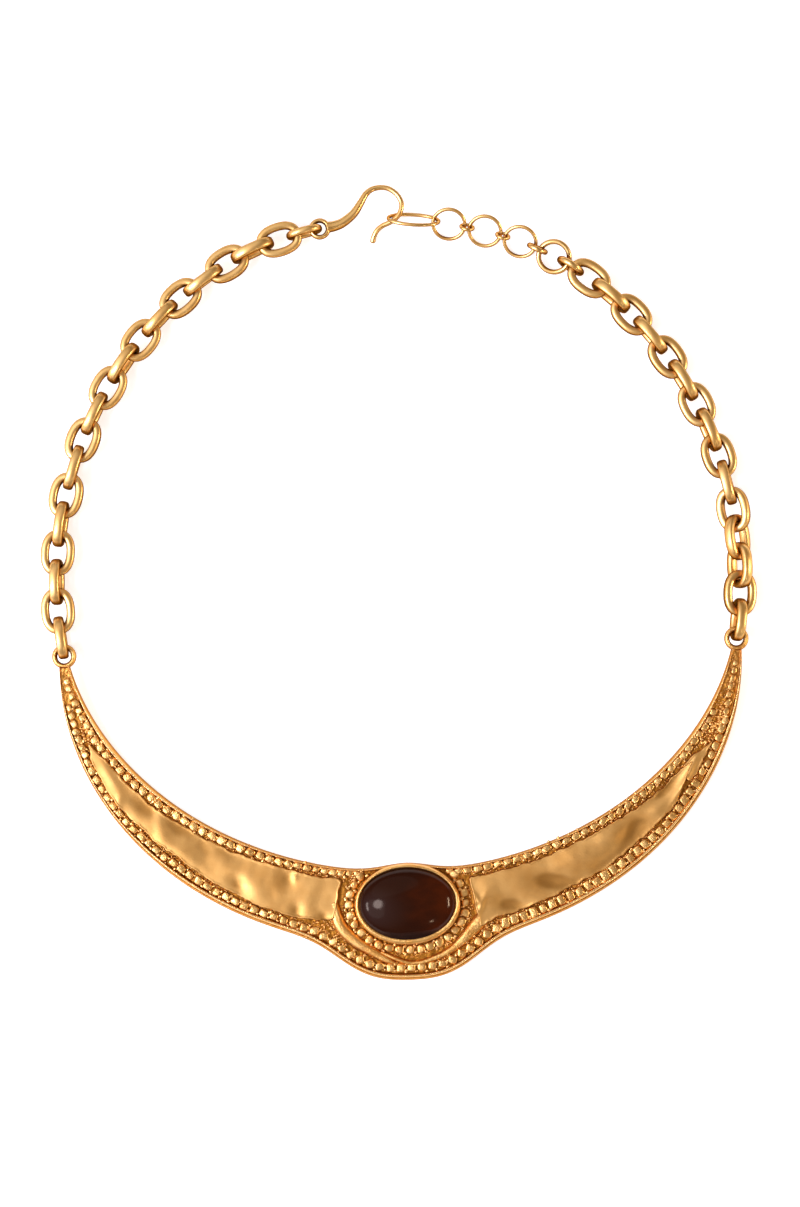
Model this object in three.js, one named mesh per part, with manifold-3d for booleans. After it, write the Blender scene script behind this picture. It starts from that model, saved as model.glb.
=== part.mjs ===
// Choker necklace in satin yellow metal: a cast crescent plate with a cabochon stone,
// an oval cable chain on each side, a hook on the left and an extender of rings on the right.
// It lies flat with its worn face up. Millimetres, +Z up, +Y towards the hook, +X towards
// the extender. Shapes are laid out round the middle of the neck, and at the end the whole
// necklace is moved so that the middle of its footprint is the origin.

import * as THREE from 'three';
import { mergeVertices } from 'three/addons/utils/BufferGeometryUtils.js';
import Module from 'manifold-3d';

const wasm = await Module();
wasm.setup();

// ---------------------------------------------------------------- driving dimensions

const DEGREE = Math.PI / 180;

// The plate lies between two half ellipses. A lobe under the stone swells the outer one.
const INNER_EDGE = { halfWide: 60.85, halfHigh: 48.96, midY: -3.37, swell: -1.5, swellWide: 6.2, power: 2 };
const OUTER_EDGE = { halfWide: 61.3, halfHigh: 51.1, midY: -14.8, swell: 5.9, swellWide: 13.2, power: 3 };
const HORN_ANGLE = 77 * DEGREE;         // from the plate's middle to where each horn meets its ring
const HORN_RISE = { height: 2.15, from: 50 * DEGREE };
const PLATE_STEPS = 60;                 // sections from horn to horn

// The plate's section, as distances in from each edge.
const RIM = { height: 2.35, hornHeight: 1.75 };
const FLOOR_DEPTH = 0.85;               // the channel of granules lies this far below the rim
const PANEL_DEPTH = 0.2;                // and the smooth panel this far
const INNER_SIDE = { wallTop: 0.3, rim: 0.85, floor: 1.0, row: 1.8, panelFoot: 2.6, panel: 2.8 };
const OUTER_SIDE = { wallTop: 0.65, rim: 1.2, floor: 1.35, row: 2.0, panelFoot: 2.8, panel: 3.0 };
const PANEL_END = { angle: 12.2 * DEGREE, blend: 0.8 * DEGREE };
// Towards the horns the section is squeezed: the panel runs out, then the two rows of
// granules become one, then that row stops.
const SQUEEZE = { panelLeast: 0.4, panelFrom: 6, panelFull: 7.4, rowsMeet: 4.7, rowStops: 2.5 };

const GRANULE = { foot: 1.36, top: 0.9, height: 0.68, sunk: 0.2, sides: 5, pitch: 1.6 };
const HORN_GRANULE = { pitch: 1.31, size: 0.85, shrink: 0.035, startGap: 1.4 * DEGREE };
const ROW_BREAK = 9.6 * DEGREE;         // the inner row stops here, beside the bezel

const STONE_CENTRE = new THREE.Vector2(0.05, -58.1);
const STONE = { halfWide: 8.65, halfHigh: 6.35, foot: 1.68, girdle: 3.5, top: 6.9 };
const BEZEL = { halfWide: 9.55, halfHigh: 7.3, foot: 0.9, seat: 1.38, top: 4.2, wall: 0.55, draft: 0.2 };
const LIP = { in: 0.75, bendFrom: 0.8, drop: 0.05, crown: 0.25, outerDrop: 0.35 };
const BEZEL_ROW = { out: 1.15, turnEnd: 122 * DEGREE, size: 0.95 };
const RIB = { halfWide: 13.0, halfHigh: 10.45, endWidth: 1.9, midWidth: 0.9, turnEnd: 77 * DEGREE };
const RIB_SECTION = { rise: 0.65, sunk: 0.3, topShare: 0.55, flare: 1.5, steps: 22 };

const OVAL_STEPS = 28;                  // sides round the stone and its bezel

const HORN_RING = { x: 60.34, y: -12.2, outer: 2.15, hole: 1.3, thickness: 1.5 };

// Chains follow one ellipse round the neck.
const CHAIN_PATH = { halfWide: 61.4, halfHigh: 66.1, backFlat: 0.7, flatFrom: 10, flatTo: 30 };
const LINK = { length: 8.36, width: 6.1, wire: 1.45, depth: 1.85, squareness: 2.35 };
const END_LINK = { ...LINK, length: 7.8 };
const HOOK_LINK = { length: 6.7, width: 5.7, wire: 1.2, depth: 1.35, squareness: 2.3 };
const HOOK_LINK_AFTER = 4.7;            // from the left chain's last link
const LINK_STEPS = 12;
const WIRE_SIDES = 6;
const THIN_WIRE_SIDES = 5;
const RING_STEPS = 16;

const HOOK_EYE = { x: -12.55, y: 63.95, z: 2.85, outer: 1.95, hole: 1.08, thickness: 1.3 };
// The hook's wire, from its eye to its tip.
const HOOK_WIRE = [
  { x: -11.2, y: 64.2, z: 2.85, radius: 0.86 },
  { x: -9.9, y: 64.4, z: 2.85, radius: 0.84 },
  { x: -8.35, y: 65.0, z: 2.85, radius: 0.8 },
  { x: -6.35, y: 66.6, z: 2.8, radius: 0.7 },
  { x: -5.0, y: 68.55, z: 2.8, radius: 0.58 },
  { x: -4.0, y: 70.15, z: 2.75, radius: 0.49 },
  { x: -2.8, y: 71.0, z: 2.75, radius: 0.44 },
  { x: -1.3, y: 71.25, z: 2.7, radius: 0.42 },
  { x: 0.2, y: 70.95, z: 2.7, radius: 0.42 },
  { x: 1.6, y: 69.9, z: 2.7, radius: 0.42 },
  { x: 2.35, y: 68.4, z: 2.65, radius: 0.42 },
  { x: 2.2, y: 66.95, z: 2.55, radius: 0.42 },
  { x: 1.5, y: 65.85, z: 2.35, radius: 0.42 },
  { x: 0.2, y: 65.0, z: 1.95, radius: 0.42 },
  { x: -1.2, y: 64.45, z: 1.6, radius: 0.42 },
  { x: -2.25, y: 63.6, z: 1.35, radius: 0.42 },
  { x: -2.85, y: 62.5, z: 0.95, radius: 0.43 },
  { x: -3.0, y: 61.85, z: 0.7, radius: 0.45 },
];
const HOOK_SIDES = 8;
const HOOK_STEPS = 34;
const HOOK_TIP = [{ advance: 0.6, radius: 0.72 }, { advance: 0.9, radius: 0.3 }];

// ---------------------------------------------------------------- finishes

const satinGold = new THREE.MeshStandardMaterial({ color: 0xd6a05a, roughness: 0.38, metalness: 1 });
const brightGold = new THREE.MeshStandardMaterial({ color: 0xe0b066, roughness: 0.26, metalness: 1 });
const brownStone = new THREE.MeshStandardMaterial({ color: 0x3c150a, roughness: 0.18, metalness: 0 });

// ---------------------------------------------------------------- shape tools

function closedMesh(points, faces) {
  const geometry = new THREE.BufferGeometry();
  const numbers = points.flatMap((point) => [point.x, point.y, point.z]);
  geometry.setAttribute('position', new THREE.Float32BufferAttribute(numbers, 3));
  geometry.setIndex(faces.flat());
  return geometry;
}

// A closed tube through rings of points; the first and the last ring are capped or joined.
function skin(rings, { closed }) {
  const sides = rings[0].length;
  const points = rings.flat();
  const faces = [];
  const joins = closed ? rings.length : rings.length - 1;
  for (let ring = 0; ring < joins; ring += 1) {
    const here = ring * sides;
    const next = ((ring + 1) % rings.length) * sides;
    for (let side = 0; side < sides; side += 1) {
      const other = (side + 1) % sides;
      faces.push([here + side, here + other, next + other], [here + side, next + other, next + side]);
    }
  }
  if (!closed) {
    const last = (rings.length - 1) * sides;
    for (let side = 1; side < sides - 1; side += 1) {
      faces.push([0, side + 1, side], [last, last + side, last + side + 1]);
    }
  }
  return closedMesh(points, faces);
}

function asSolid(geometry) {
  const bare = new THREE.BufferGeometry();
  bare.setAttribute('position', geometry.getAttribute('position'));
  bare.setIndex(geometry.getIndex());
  const merged = mergeVertices(bare, 1e-5);
  return new wasm.Manifold(new wasm.Mesh({
    numProp: 3,
    vertProperties: new Float32Array(merged.getAttribute('position').array),
    triVerts: new Uint32Array(merged.getIndex().array),
  }));
}

// Edges shorter than this are closed up after joining and cutting.
const SLIVER = 0.01;

function asGeometry(solid) {
  const mesh = solid.simplify(SLIVER).getMesh();
  const geometry = new THREE.BufferGeometry();
  geometry.setAttribute('position', new THREE.Float32BufferAttribute(mesh.vertProperties, 3));
  geometry.setIndex(new THREE.Uint32BufferAttribute(mesh.triVerts, 1));
  return geometry;
}

// An oval of wire in the XY plane, its length along X.
function ovalOfWire({ length, width, wire, depth, squareness }, wireSides = WIRE_SIDES) {
  const halfLong = (length - wire) / 2;
  const halfWide = (width - wire) / 2;
  const rings = [];
  for (let step = 0; step < LINK_STEPS; step += 1) {
    const turn = (step / LINK_STEPS) * 2 * Math.PI;
    const cos = Math.cos(turn);
    const sin = Math.sin(turn);
    const centre = new THREE.Vector3(
      halfLong * Math.sign(cos) * Math.abs(cos) ** (2 / squareness),
      halfWide * Math.sign(sin) * Math.abs(sin) ** (2 / squareness),
      0,
    );
    const outward = new THREE.Vector3(cos / halfLong, sin / halfWide, 0).normalize();
    const ring = [];
    for (let side = 0; side < wireSides; side += 1) {
      const round = (side / wireSides) * 2 * Math.PI;
      ring.push(centre.clone()
        .addScaledVector(outward, (wire / 2) * Math.cos(round))
        .add(new THREE.Vector3(0, 0, -(depth / 2) * Math.sin(round))));
    }
    rings.push(ring);
  }
  return skin(rings, { closed: true });
}

// A wire that follows a table of points, each with its own radius.
function taperedWire(table, sides, steps) {
  const path = new THREE.CatmullRomCurve3(table.map((row) => new THREE.Vector3(row.x, row.y, row.z)));
  const up = new THREE.Vector3(0, 0, 1);
  const rings = [];
  const addRing = (along, radius, advance) => {
    const forward = path.getTangent(along);
    const aside = new THREE.Vector3().crossVectors(up, forward).normalize();
    const over = new THREE.Vector3().crossVectors(forward, aside);
    const centre = path.getPoint(along).addScaledVector(forward, advance);
    const ring = [];
    for (let side = 0; side < sides; side += 1) {
      const round = ((side + 0.5) / sides) * 2 * Math.PI;
      ring.push(centre.clone()
        .addScaledVector(aside, radius * Math.cos(round))
        .addScaledVector(over, radius * Math.sin(round)));
    }
    rings.push(ring);
  };
  for (let step = 0; step <= steps; step += 1) {
    const along = step / steps;
    const place = along * (table.length - 1);
    const row = Math.min(Math.floor(place), table.length - 2);
    const radius = THREE.MathUtils.lerp(table[row].radius, table[row + 1].radius, place - row);
    addRing(along, radius, 0);
  }
  const last = table[table.length - 1].radius;
  HOOK_TIP.forEach(({ advance, radius }) => addRing(1, last * radius, last * advance));
  return skin(rings, { closed: false });
}

// A solid ring with its hole along Z.
function eyeRing({ x, y, z, outer, hole, thickness }) {
  const wire = outer - hole;
  const ring = new THREE.TorusGeometry((outer + hole) / 2, wire / 2, WIRE_SIDES, RING_STEPS);
  return ring.scale(1, 1, thickness / wire).translate(x, y, z);
}

// ---------------------------------------------------------------- the plate

// Distance from the middle of the neck to one of the plate's edges, at an angle from its middle.
function edgeRadius(edge, angle) {
  const sin = Math.sin(angle);
  const cos = Math.cos(angle);
  const a = (sin / edge.halfWide) ** 2 + (cos / edge.halfHigh) ** 2;
  const b = (2 * cos * edge.midY) / edge.halfHigh ** 2;
  const c = (edge.midY / edge.halfHigh) ** 2 - 1;
  const plain = (-b + Math.sqrt(b * b - 4 * a * c)) / (2 * a);
  return plain + edge.swell * Math.exp(-((Math.abs(plain * sin) / edge.swellWide) ** edge.power));
}

function polar(angle, radius, z) {
  return new THREE.Vector3(radius * Math.sin(angle), -radius * Math.cos(angle), z);
}

function plateStation(angle) {
  const inner = edgeRadius(INNER_EDGE, angle);
  const outer = edgeRadius(OUTER_EDGE, angle);
  const width = outer - inner;
  const crowd = Math.min(1, width / (INNER_SIDE.panel + OUTER_SIDE.panel + SQUEEZE.panelLeast));
  const hornward = THREE.MathUtils.smoothstep(Math.abs(angle), HORN_RISE.from, HORN_ANGLE);
  const base = HORN_RISE.height * hornward;
  const rim = THREE.MathUtils.lerp(RIM.height, RIM.hornHeight, hornward);
  const floor = rim - (FLOOR_DEPTH * (1 + crowd)) / 2;
  const spread = THREE.MathUtils.smoothstep(width, SQUEEZE.panelFrom, SQUEEZE.panelFull)
    * THREE.MathUtils.smoothstep(Math.abs(angle), PANEL_END.angle - PANEL_END.blend, PANEL_END.angle);
  const panel = THREE.MathUtils.lerp(floor, rim - PANEL_DEPTH, spread);
  return {
    inner, outer, width, crowd, base, rim: base + rim, floor: base + floor, panel: base + panel,
  };
}

function plateBody() {
  const rings = [];
  for (let step = 0; step <= PLATE_STEPS; step += 1) {
    const angle = THREE.MathUtils.lerp(-HORN_ANGLE, HORN_ANGLE, step / PLATE_STEPS);
    const at = plateStation(angle);
    const fromInner = (distance, z) => polar(angle, at.inner + distance * at.crowd, z);
    const fromOuter = (distance, z) => polar(angle, at.outer - distance * at.crowd, z);
    rings.push([
      fromInner(0, at.base),
      fromInner(INNER_SIDE.wallTop, at.rim),
      fromInner(INNER_SIDE.rim, at.rim),
      fromInner(INNER_SIDE.floor, at.floor),
      fromInner(INNER_SIDE.panelFoot, at.floor),
      fromInner(INNER_SIDE.panel, at.panel),
      fromOuter(OUTER_SIDE.panel, at.panel),
      fromOuter(OUTER_SIDE.panelFoot, at.floor),
      fromOuter(OUTER_SIDE.floor, at.floor),
      fromOuter(OUTER_SIDE.rim, at.rim),
      fromOuter(OUTER_SIDE.wallTop, at.rim),
      fromOuter(0, at.base),
    ]);
  }
  return skin(rings, { closed: false });
}

// One granule: a small dome with flat sides, its foot sunk into the floor.
function granule(place, size) {
  const levels = [
    { radius: (GRANULE.foot / 2) * size, z: place.z - GRANULE.sunk },
    { radius: (GRANULE.top / 2) * size, z: place.z + GRANULE.height * size },
  ];
  const rings = levels.map(({ radius, z }) => {
    const ring = [];
    for (let side = 0; side < GRANULE.sides; side += 1) {
      const round = place.heading + (side / GRANULE.sides) * 2 * Math.PI;
      const x = place.x + radius * Math.cos(round);
      const y = place.y + radius * Math.sin(round);
      ring.push(new THREE.Vector3(x, y, z));
    }
    return ring;
  });
  return skin(rings, { closed: false });
}

// Places a granule's pitch apart along a curve given by its radius at each angle.
function rowAlong(radiusAt, from, to, pitch) {
  const places = [];
  const nudge = 0.001;
  let angle = from;
  while (angle <= to) {
    const radius = radiusAt(angle);
    const slope = (radiusAt(angle + nudge) - radius) / nudge;
    const at = plateStation(angle);
    places.push({ ...plainPoint(polar(angle, radius, at.floor)), heading: angle });
    angle += pitch / Math.hypot(radius, slope);
  }
  return places;
}

function plainPoint(point) {
  return { x: point.x, y: point.y, z: point.z };
}

// The angle from the plate's middle at which its width has shrunk to a given one.
function angleOfWidth(width) {
  let angle = 30 * DEGREE;
  while (angle < HORN_ANGLE && plateStation(angle).width > width) angle += 0.1 * DEGREE;
  return angle;
}

function granulePlaces() {
  const rowsMeet = angleOfWidth(SQUEEZE.rowsMeet);
  const rowStops = angleOfWidth(SQUEEZE.rowStops);
  const innerRow = (angle) => {
    const at = plateStation(angle);
    return at.inner + INNER_SIDE.row * at.crowd;
  };
  const outerRow = (angle) => {
    const at = plateStation(angle);
    return at.outer - OUTER_SIDE.row * at.crowd;
  };
  const middleRow = (angle) => (innerRow(angle) + outerRow(angle)) / 2;
  const places = [
    ...rowAlong(innerRow, -rowsMeet, -ROW_BREAK, GRANULE.pitch),
    ...rowAlong(innerRow, ROW_BREAK, rowsMeet, GRANULE.pitch),
    ...rowAlong(outerRow, -rowsMeet, rowsMeet, GRANULE.pitch),
  ].map((place) => ({ ...place, size: 1 }));
  const hornRow = rowAlong(middleRow, rowsMeet + HORN_GRANULE.startGap, rowStops, HORN_GRANULE.pitch);
  for (const side of [-1, 1]) {
    places.push(...hornRow.map((place, index) => ({
      ...place,
      x: place.x * side,
      heading: place.heading * side,
      size: HORN_GRANULE.size - HORN_GRANULE.shrink * index,
    })));
  }
  return [...places, ...bezelRow()];
}

function onStoneOval(halfWide, halfHigh, turn, z) {
  return new THREE.Vector3(
    STONE_CENTRE.x + halfWide * Math.sin(turn),
    STONE_CENTRE.y - halfHigh * Math.cos(turn),
    z,
  );
}

// The granules under and beside the stone, between the bezel and the rib.
function bezelRow() {
  const places = [];
  const halfWide = BEZEL.halfWide + BEZEL_ROW.out;
  const halfHigh = BEZEL.halfHigh + BEZEL_ROW.out;
  let turn = -BEZEL_ROW.turnEnd;
  while (turn <= BEZEL_ROW.turnEnd) {
    const point = onStoneOval(halfWide, halfHigh, turn, RIM.height - FLOOR_DEPTH);
    places.push({ ...plainPoint(point), heading: turn, size: BEZEL_ROW.size });
    turn += GRANULE.pitch / Math.hypot(halfWide * Math.cos(turn), halfHigh * Math.sin(turn));
  }
  return places;
}

// The smooth rib that swings under the stone from one panel to the other.
function rib() {
  const foot = RIM.height - FLOOR_DEPTH - RIB_SECTION.sunk;
  const crown = RIM.height - FLOOR_DEPTH + RIB_SECTION.rise;
  const rings = [];
  for (let step = 0; step <= RIB_SECTION.steps; step += 1) {
    const share = (2 * step) / RIB_SECTION.steps - 1;
    const flare = Math.abs(share) ** RIB_SECTION.flare;
    const half = THREE.MathUtils.lerp(RIB.midWidth, RIB.endWidth, flare) / 2;
    const turn = share * RIB.turnEnd;
    const at = (aside, z) => onStoneOval(RIB.halfWide + aside, RIB.halfHigh + aside, turn, z);
    const top = half * RIB_SECTION.topShare;
    rings.push([at(-half, foot), at(-top, crown), at(top, crown), at(half, foot)]);
  }
  return skin(rings, { closed: false });
}

// The bezel: an oval collar whose lip is turned in over the stone's edge.
function bezelCollar() {
  const section = [
    { out: -BEZEL.wall, z: BEZEL.foot },
    { out: -BEZEL.wall, z: BEZEL.top - LIP.bendFrom },
    { out: -LIP.in, z: BEZEL.top - LIP.drop },
    { out: -LIP.crown, z: BEZEL.top },
    { out: 0, z: BEZEL.top - LIP.outerDrop },
    { out: BEZEL.draft, z: BEZEL.foot },
  ];
  const rings = [];
  for (let step = 0; step < OVAL_STEPS; step += 1) {
    const turn = (step / OVAL_STEPS) * 2 * Math.PI;
    const at = ({ out, z }) => onStoneOval(BEZEL.halfWide + out, BEZEL.halfHigh + out, turn, z);
    rings.push(section.map(at));
  }
  return skin(rings, { closed: true });
}

function stoneOvalRing(halfWide, halfHigh, z) {
  const ring = [];
  for (let step = 0; step < OVAL_STEPS; step += 1) {
    ring.push(onStoneOval(halfWide, halfHigh, (step / OVAL_STEPS) * 2 * Math.PI, z));
  }
  return ring;
}

// The room inside the bezel, down to the seat that the stone rests on.
function stoneCup() {
  const midWall = BEZEL.wall / 2;
  const ringAt = (z) => stoneOvalRing(BEZEL.halfWide - midWall, BEZEL.halfHigh - midWall, z);
  return skin([ringAt(BEZEL.seat), ringAt(BEZEL.top)], { closed: false });
}

function crescentPlate() {
  let solid = asSolid(plateBody());
  const hornMiddle = HORN_RISE.height + RIM.hornHeight / 2;
  for (const side of [-1, 1]) {
    const ring = eyeRing({ ...HORN_RING, x: side * HORN_RING.x, z: hornMiddle });
    solid = solid.add(asSolid(ring));
  }
  solid = solid.add(asSolid(rib()));
  solid = solid.subtract(asSolid(stoneCup()));
  solid = solid.add(asSolid(bezelCollar()));
  for (const place of granulePlaces()) {
    solid = solid.add(asSolid(granule(place, place.size)));
  }
  return asGeometry(solid);
}

// ---------------------------------------------------------------- the stone

const STONE_FOOT = { scale: 0.93, bevel: 0.5 };
const DOME = { climbs: [0.3, 0.55, 0.76, 0.91, 0.98], power: 2.3 };

function cabochon() {
  const levels = [
    { scale: STONE_FOOT.scale, z: STONE.foot },
    { scale: 1, z: STONE.foot + STONE_FOOT.bevel },
    { scale: 1, z: STONE.girdle },
    ...DOME.climbs.map((climb) => ({
      scale: Math.sqrt(1 - climb ** DOME.power),
      z: THREE.MathUtils.lerp(STONE.girdle, STONE.top, climb),
    })),
  ];
  const ringAt = ({ scale, z }) => stoneOvalRing(STONE.halfWide * scale, STONE.halfHigh * scale, z);
  return skin(levels.map(ringAt), { closed: false });
}

// ---------------------------------------------------------------- assembly

const necklace = new THREE.Group();

function addPiece(name, geometry, material) {
  const piece = new THREE.Mesh(geometry, material);
  piece.name = name;
  necklace.add(piece);
  return piece;
}

addPiece('crescent_plate', crescentPlate(), satinGold);
addPiece('cabochon_stone', cabochon(), brownStone);

// The chain's path on one side, from the horn ring up to the back of the neck, where it
// lies a little flatter than the ellipse.
class ChainPath extends THREE.Curve {
  constructor(side) {
    super();
    this.side = side;
    this.start = Math.asin(HORN_RING.y / CHAIN_PATH.halfHigh);
    this.arcLengthDivisions = 1200;
  }

  getPoint(along, target = new THREE.Vector3()) {
    const turn = THREE.MathUtils.lerp(this.start, Math.PI / 2, along);
    const x = CHAIN_PATH.halfWide * Math.cos(turn);
    const flat = 1 - THREE.MathUtils.smoothstep(x, CHAIN_PATH.flatFrom, CHAIN_PATH.flatTo);
    const sag = turn > 0 ? CHAIN_PATH.backFlat * flat : 0;
    return target.set(this.side * x, CHAIN_PATH.halfHigh * Math.sin(turn) - sag, 0);
  }
}

// Puts a link on its path: distance along it, height of its middle, roll about the path and
// lift of its far end.
function threadOn(piece, path, { distance, z, roll = 0, lift = 0 }) {
  const along = distance / path.getLength();
  const forward = path.getTangentAt(along);
  piece.position.copy(path.getPointAt(along)).setZ(z);
  piece.rotation.order = 'ZYX';
  piece.rotation.set(roll * DEGREE, -lift * DEGREE, Math.atan2(forward.y, forward.x));
  return piece;
}

const linkShape = ovalOfWire(LINK);
const endLinkShape = ovalOfWire(END_LINK);

// Height of the middle of a link that stands on the table, leaning to a given roll.
function standing(size, roll) {
  const lean = Math.abs(Math.sin(roll * DEGREE));
  const flat = Math.abs(Math.cos(roll * DEGREE));
  const wireDrop = Math.hypot((size.wire / 2) * lean, (size.depth / 2) * flat);
  return ((size.width - size.wire) / 2) * lean + wireDrop;
}

// Threads a chain's links from the horn ring on, one for each roll, the first a shorter one.
// Returns the last link's distance along the path.
function threadChain(side, path, { firstLink, secondLink, pitch, lowest }, rolls) {
  rolls.forEach((roll, index) => {
    const number = String(index + 1).padStart(2, '0');
    const piece = addPiece(`${side}_link_${number}`, index === 0 ? endLinkShape : linkShape, satinGold);
    const distance = index === 0 ? firstLink : secondLink + pitch * (index - 1);
    threadOn(piece, path, { distance, z: Math.max(standing(LINK, roll), lowest), roll });
  });
  return secondLink + pitch * (rolls.length - 2);
}

// Left chain: standing and flat links take turns, each leaning a little its own way.
const LEFT_CHAIN = { firstLink: 3.42, secondLink: 8.28, pitch: 5.23, lowest: LINK.width / 2 };
const LEFT_LINKS = 18;
const LEAN = { most: 6, turn: 2.3, start: 0.6 };
const leftPath = new ChainPath(-1);
const leftRolls = Array.from({ length: LEFT_LINKS }, (_, index) => {
  const lean = LEAN.most * Math.sin(index * LEAN.turn + LEAN.start);
  return index % 2 === 0 ? 90 + lean : lean;
});
const leftEnd = threadChain('left', leftPath, LEFT_CHAIN, leftRolls);
threadOn(addPiece('hook_link', ovalOfWire(HOOK_LINK), satinGold), leftPath, {
  distance: leftEnd + HOOK_LINK_AFTER, z: HOOK_LINK.width / 2, roll: 90,
});

// Right chain: the links' rolls in order. The third and fourth carry a half twist.
const RIGHT_CHAIN = { firstLink: 3.42, secondLink: 8.2, pitch: 5.04, lowest: LINK.width / 2 - 0.1 };
const RIGHT_ROLLS = [
  98, 12, -60, -132, -204, -280, -358, -446, -542, -628, -717, -812, -898, -987, -1080,
];
const rightPath = new ChainPath(1);
const rightEnd = threadChain('right', rightPath, RIGHT_CHAIN, RIGHT_ROLLS);

// The extender: wire rings joined by small jump rings. Distances run on from the last link.
const EXTENDER = [
  { name: 'chain_end_jump_ring', outer: 5.6, wire: 1.25, after: 4.05, z: 2.8, roll: 90 },
  { name: 'extender_ring_4', outer: 6.55, wire: 0.85, after: 3.45, z: 2.2, roll: -24 },
  { name: 'extender_jump_ring_3', outer: 4.1, wire: 0.9, after: 3.36, z: 2.1, roll: 76 },
  { name: 'extender_ring_3', outer: 6.45, wire: 0.6, after: 3.38, z: 2.0, roll: -33 },
  { name: 'extender_jump_ring_2', outer: 2.85, wire: 0.58, after: 3.33, z: 2.0, roll: 57 },
  { name: 'extender_ring_2', outer: 6.45, wire: 0.6, after: 3.33, z: 2.0, roll: -33 },
  { name: 'extender_jump_ring_1', outer: 2.85, wire: 0.58, after: 3.33, z: 2.0, roll: 57 },
  { name: 'extender_ring_1', outer: 6.45, wire: 0.6, after: 3.33, z: 2.0, roll: -33 },
];
let reached = rightEnd;
for (const row of EXTENDER) {
  reached += row.after;
  const shape = ovalOfWire({
    length: row.outer, width: row.outer, wire: row.wire, depth: row.wire, squareness: 2,
  }, THIN_WIRE_SIDES);
  threadOn(addPiece(row.name, shape, brightGold), rightPath, { ...row, distance: reached });
}

// The long ring at the end of the extender, which hangs on the hook.
const END_RING = { length: 9.8, width: 5.6, wire: 0.62, depth: 0.62, squareness: 2.1 };
const END_RING_AT = { after: 6.45, z: 2.55, roll: 58, lift: 3 };
const endRing = addPiece('end_ring', ovalOfWire(END_RING, THIN_WIRE_SIDES), brightGold);
threadOn(endRing, rightPath, { ...END_RING_AT, distance: reached + END_RING_AT.after });

// ---------------------------------------------------------------- the hook

function hook() {
  const wire = taperedWire(HOOK_WIRE, HOOK_SIDES, HOOK_STEPS);
  return asGeometry(asSolid(eyeRing(HOOK_EYE)).add(asSolid(wire)));
}

addPiece('hook', hook(), brightGold);

// ---------------------------------------------------------------- place on the table

necklace.updateMatrixWorld(true);
const extent = new THREE.Box3().setFromObject(necklace, true);
const middle = extent.getCenter(new THREE.Vector3());
necklace.position.set(-middle.x, -middle.y, -extent.min.z);

export default necklace;
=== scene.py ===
import math
import random
from math import radians
from types import SimpleNamespace as Sizes

import bmesh
import bpy
import numpy as np
from mathutils import Matrix, Vector, noise


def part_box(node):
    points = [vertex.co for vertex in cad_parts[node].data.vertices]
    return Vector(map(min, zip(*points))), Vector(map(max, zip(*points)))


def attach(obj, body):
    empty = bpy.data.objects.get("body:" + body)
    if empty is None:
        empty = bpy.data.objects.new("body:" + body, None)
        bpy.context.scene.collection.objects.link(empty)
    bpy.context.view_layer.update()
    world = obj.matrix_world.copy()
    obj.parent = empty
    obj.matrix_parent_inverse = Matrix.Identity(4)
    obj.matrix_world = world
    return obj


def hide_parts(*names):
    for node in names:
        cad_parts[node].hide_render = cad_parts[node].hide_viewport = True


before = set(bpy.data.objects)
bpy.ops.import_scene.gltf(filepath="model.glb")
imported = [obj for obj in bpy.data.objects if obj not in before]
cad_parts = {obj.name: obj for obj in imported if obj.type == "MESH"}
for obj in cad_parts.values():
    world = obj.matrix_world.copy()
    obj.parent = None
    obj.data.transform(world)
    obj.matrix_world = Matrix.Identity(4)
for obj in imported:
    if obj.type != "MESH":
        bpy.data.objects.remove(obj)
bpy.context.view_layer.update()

# Shapes are worked out in millimetres round the middle of the neck, like the solids, and
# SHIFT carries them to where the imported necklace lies.
MM = 0.001
STONE_CENTRE = (0.05, -58.1)
stone_low, stone_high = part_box("cabochon_stone")
SHIFT = np.array([
    (stone_low.x + stone_high.x) / 2 - STONE_CENTRE[0] * MM,
    (stone_low.y + stone_high.y) / 2 - STONE_CENTRE[1] * MM,
    0.0,
])

# ---------------- sizes of the plate

INNER_EDGE = Sizes(half_wide=60.85, half_high=48.96, mid_y=-3.37, swell=-1.5, swell_wide=6.2, power=2)
OUTER_EDGE = Sizes(half_wide=61.3, half_high=51.1, mid_y=-14.8, swell=5.9, swell_wide=13.2, power=3)
HORN_ANGLE = radians(77)
HORN_RISE = Sizes(height=2.15, start=radians(50))
RIM = Sizes(height=2.35, horn_height=1.75)
FLOOR_DEPTH = 0.85
LOBE_FLOOR = RIM.height - FLOOR_DEPTH
SQUEEZE_WIDTH = 6.2
HORN_RING = Sizes(
    x=60.34, y=-12.2, z=HORN_RISE.height + RIM.horn_height / 2, outer=2.2, hole=1.22, thickness=1.5,
)

# The plate's section, as (distance in from the edge, share of the height from foot to rim),
# and then as (distance in, share of the height from channel floor to rim).
INNER_WALL = [(0, 0), (0.05, 0.28), (0.14, 0.52), (0.27, 0.73), (0.39, 0.87), (0.47, 0.96), (0.55, 1)]
INNER_FALL = [(0.66, 0.99), (0.76, 0.9), (0.84, 0.62), (0.92, 0.3), (1.0, 0.06), (1.1, 0)]
OUTER_WALL = [
    (0, 0), (0.04, 0.22), (0.13, 0.45), (0.26, 0.64), (0.4, 0.71), (0.48, 0.6), (0.56, 0.71), (0.67, 0.88),
    (0.78, 0.97), (0.88, 1),
]
OUTER_FALL = [(1.0, 0.98), (1.08, 0.86), (1.15, 0.58), (1.22, 0.28), (1.3, 0.06), (1.42, 0)]
# The rim's worn crest gets a painted highlight above this share of its height, this strong.
CREST = Sizes(share=0.95, wear=0.6)
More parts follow.
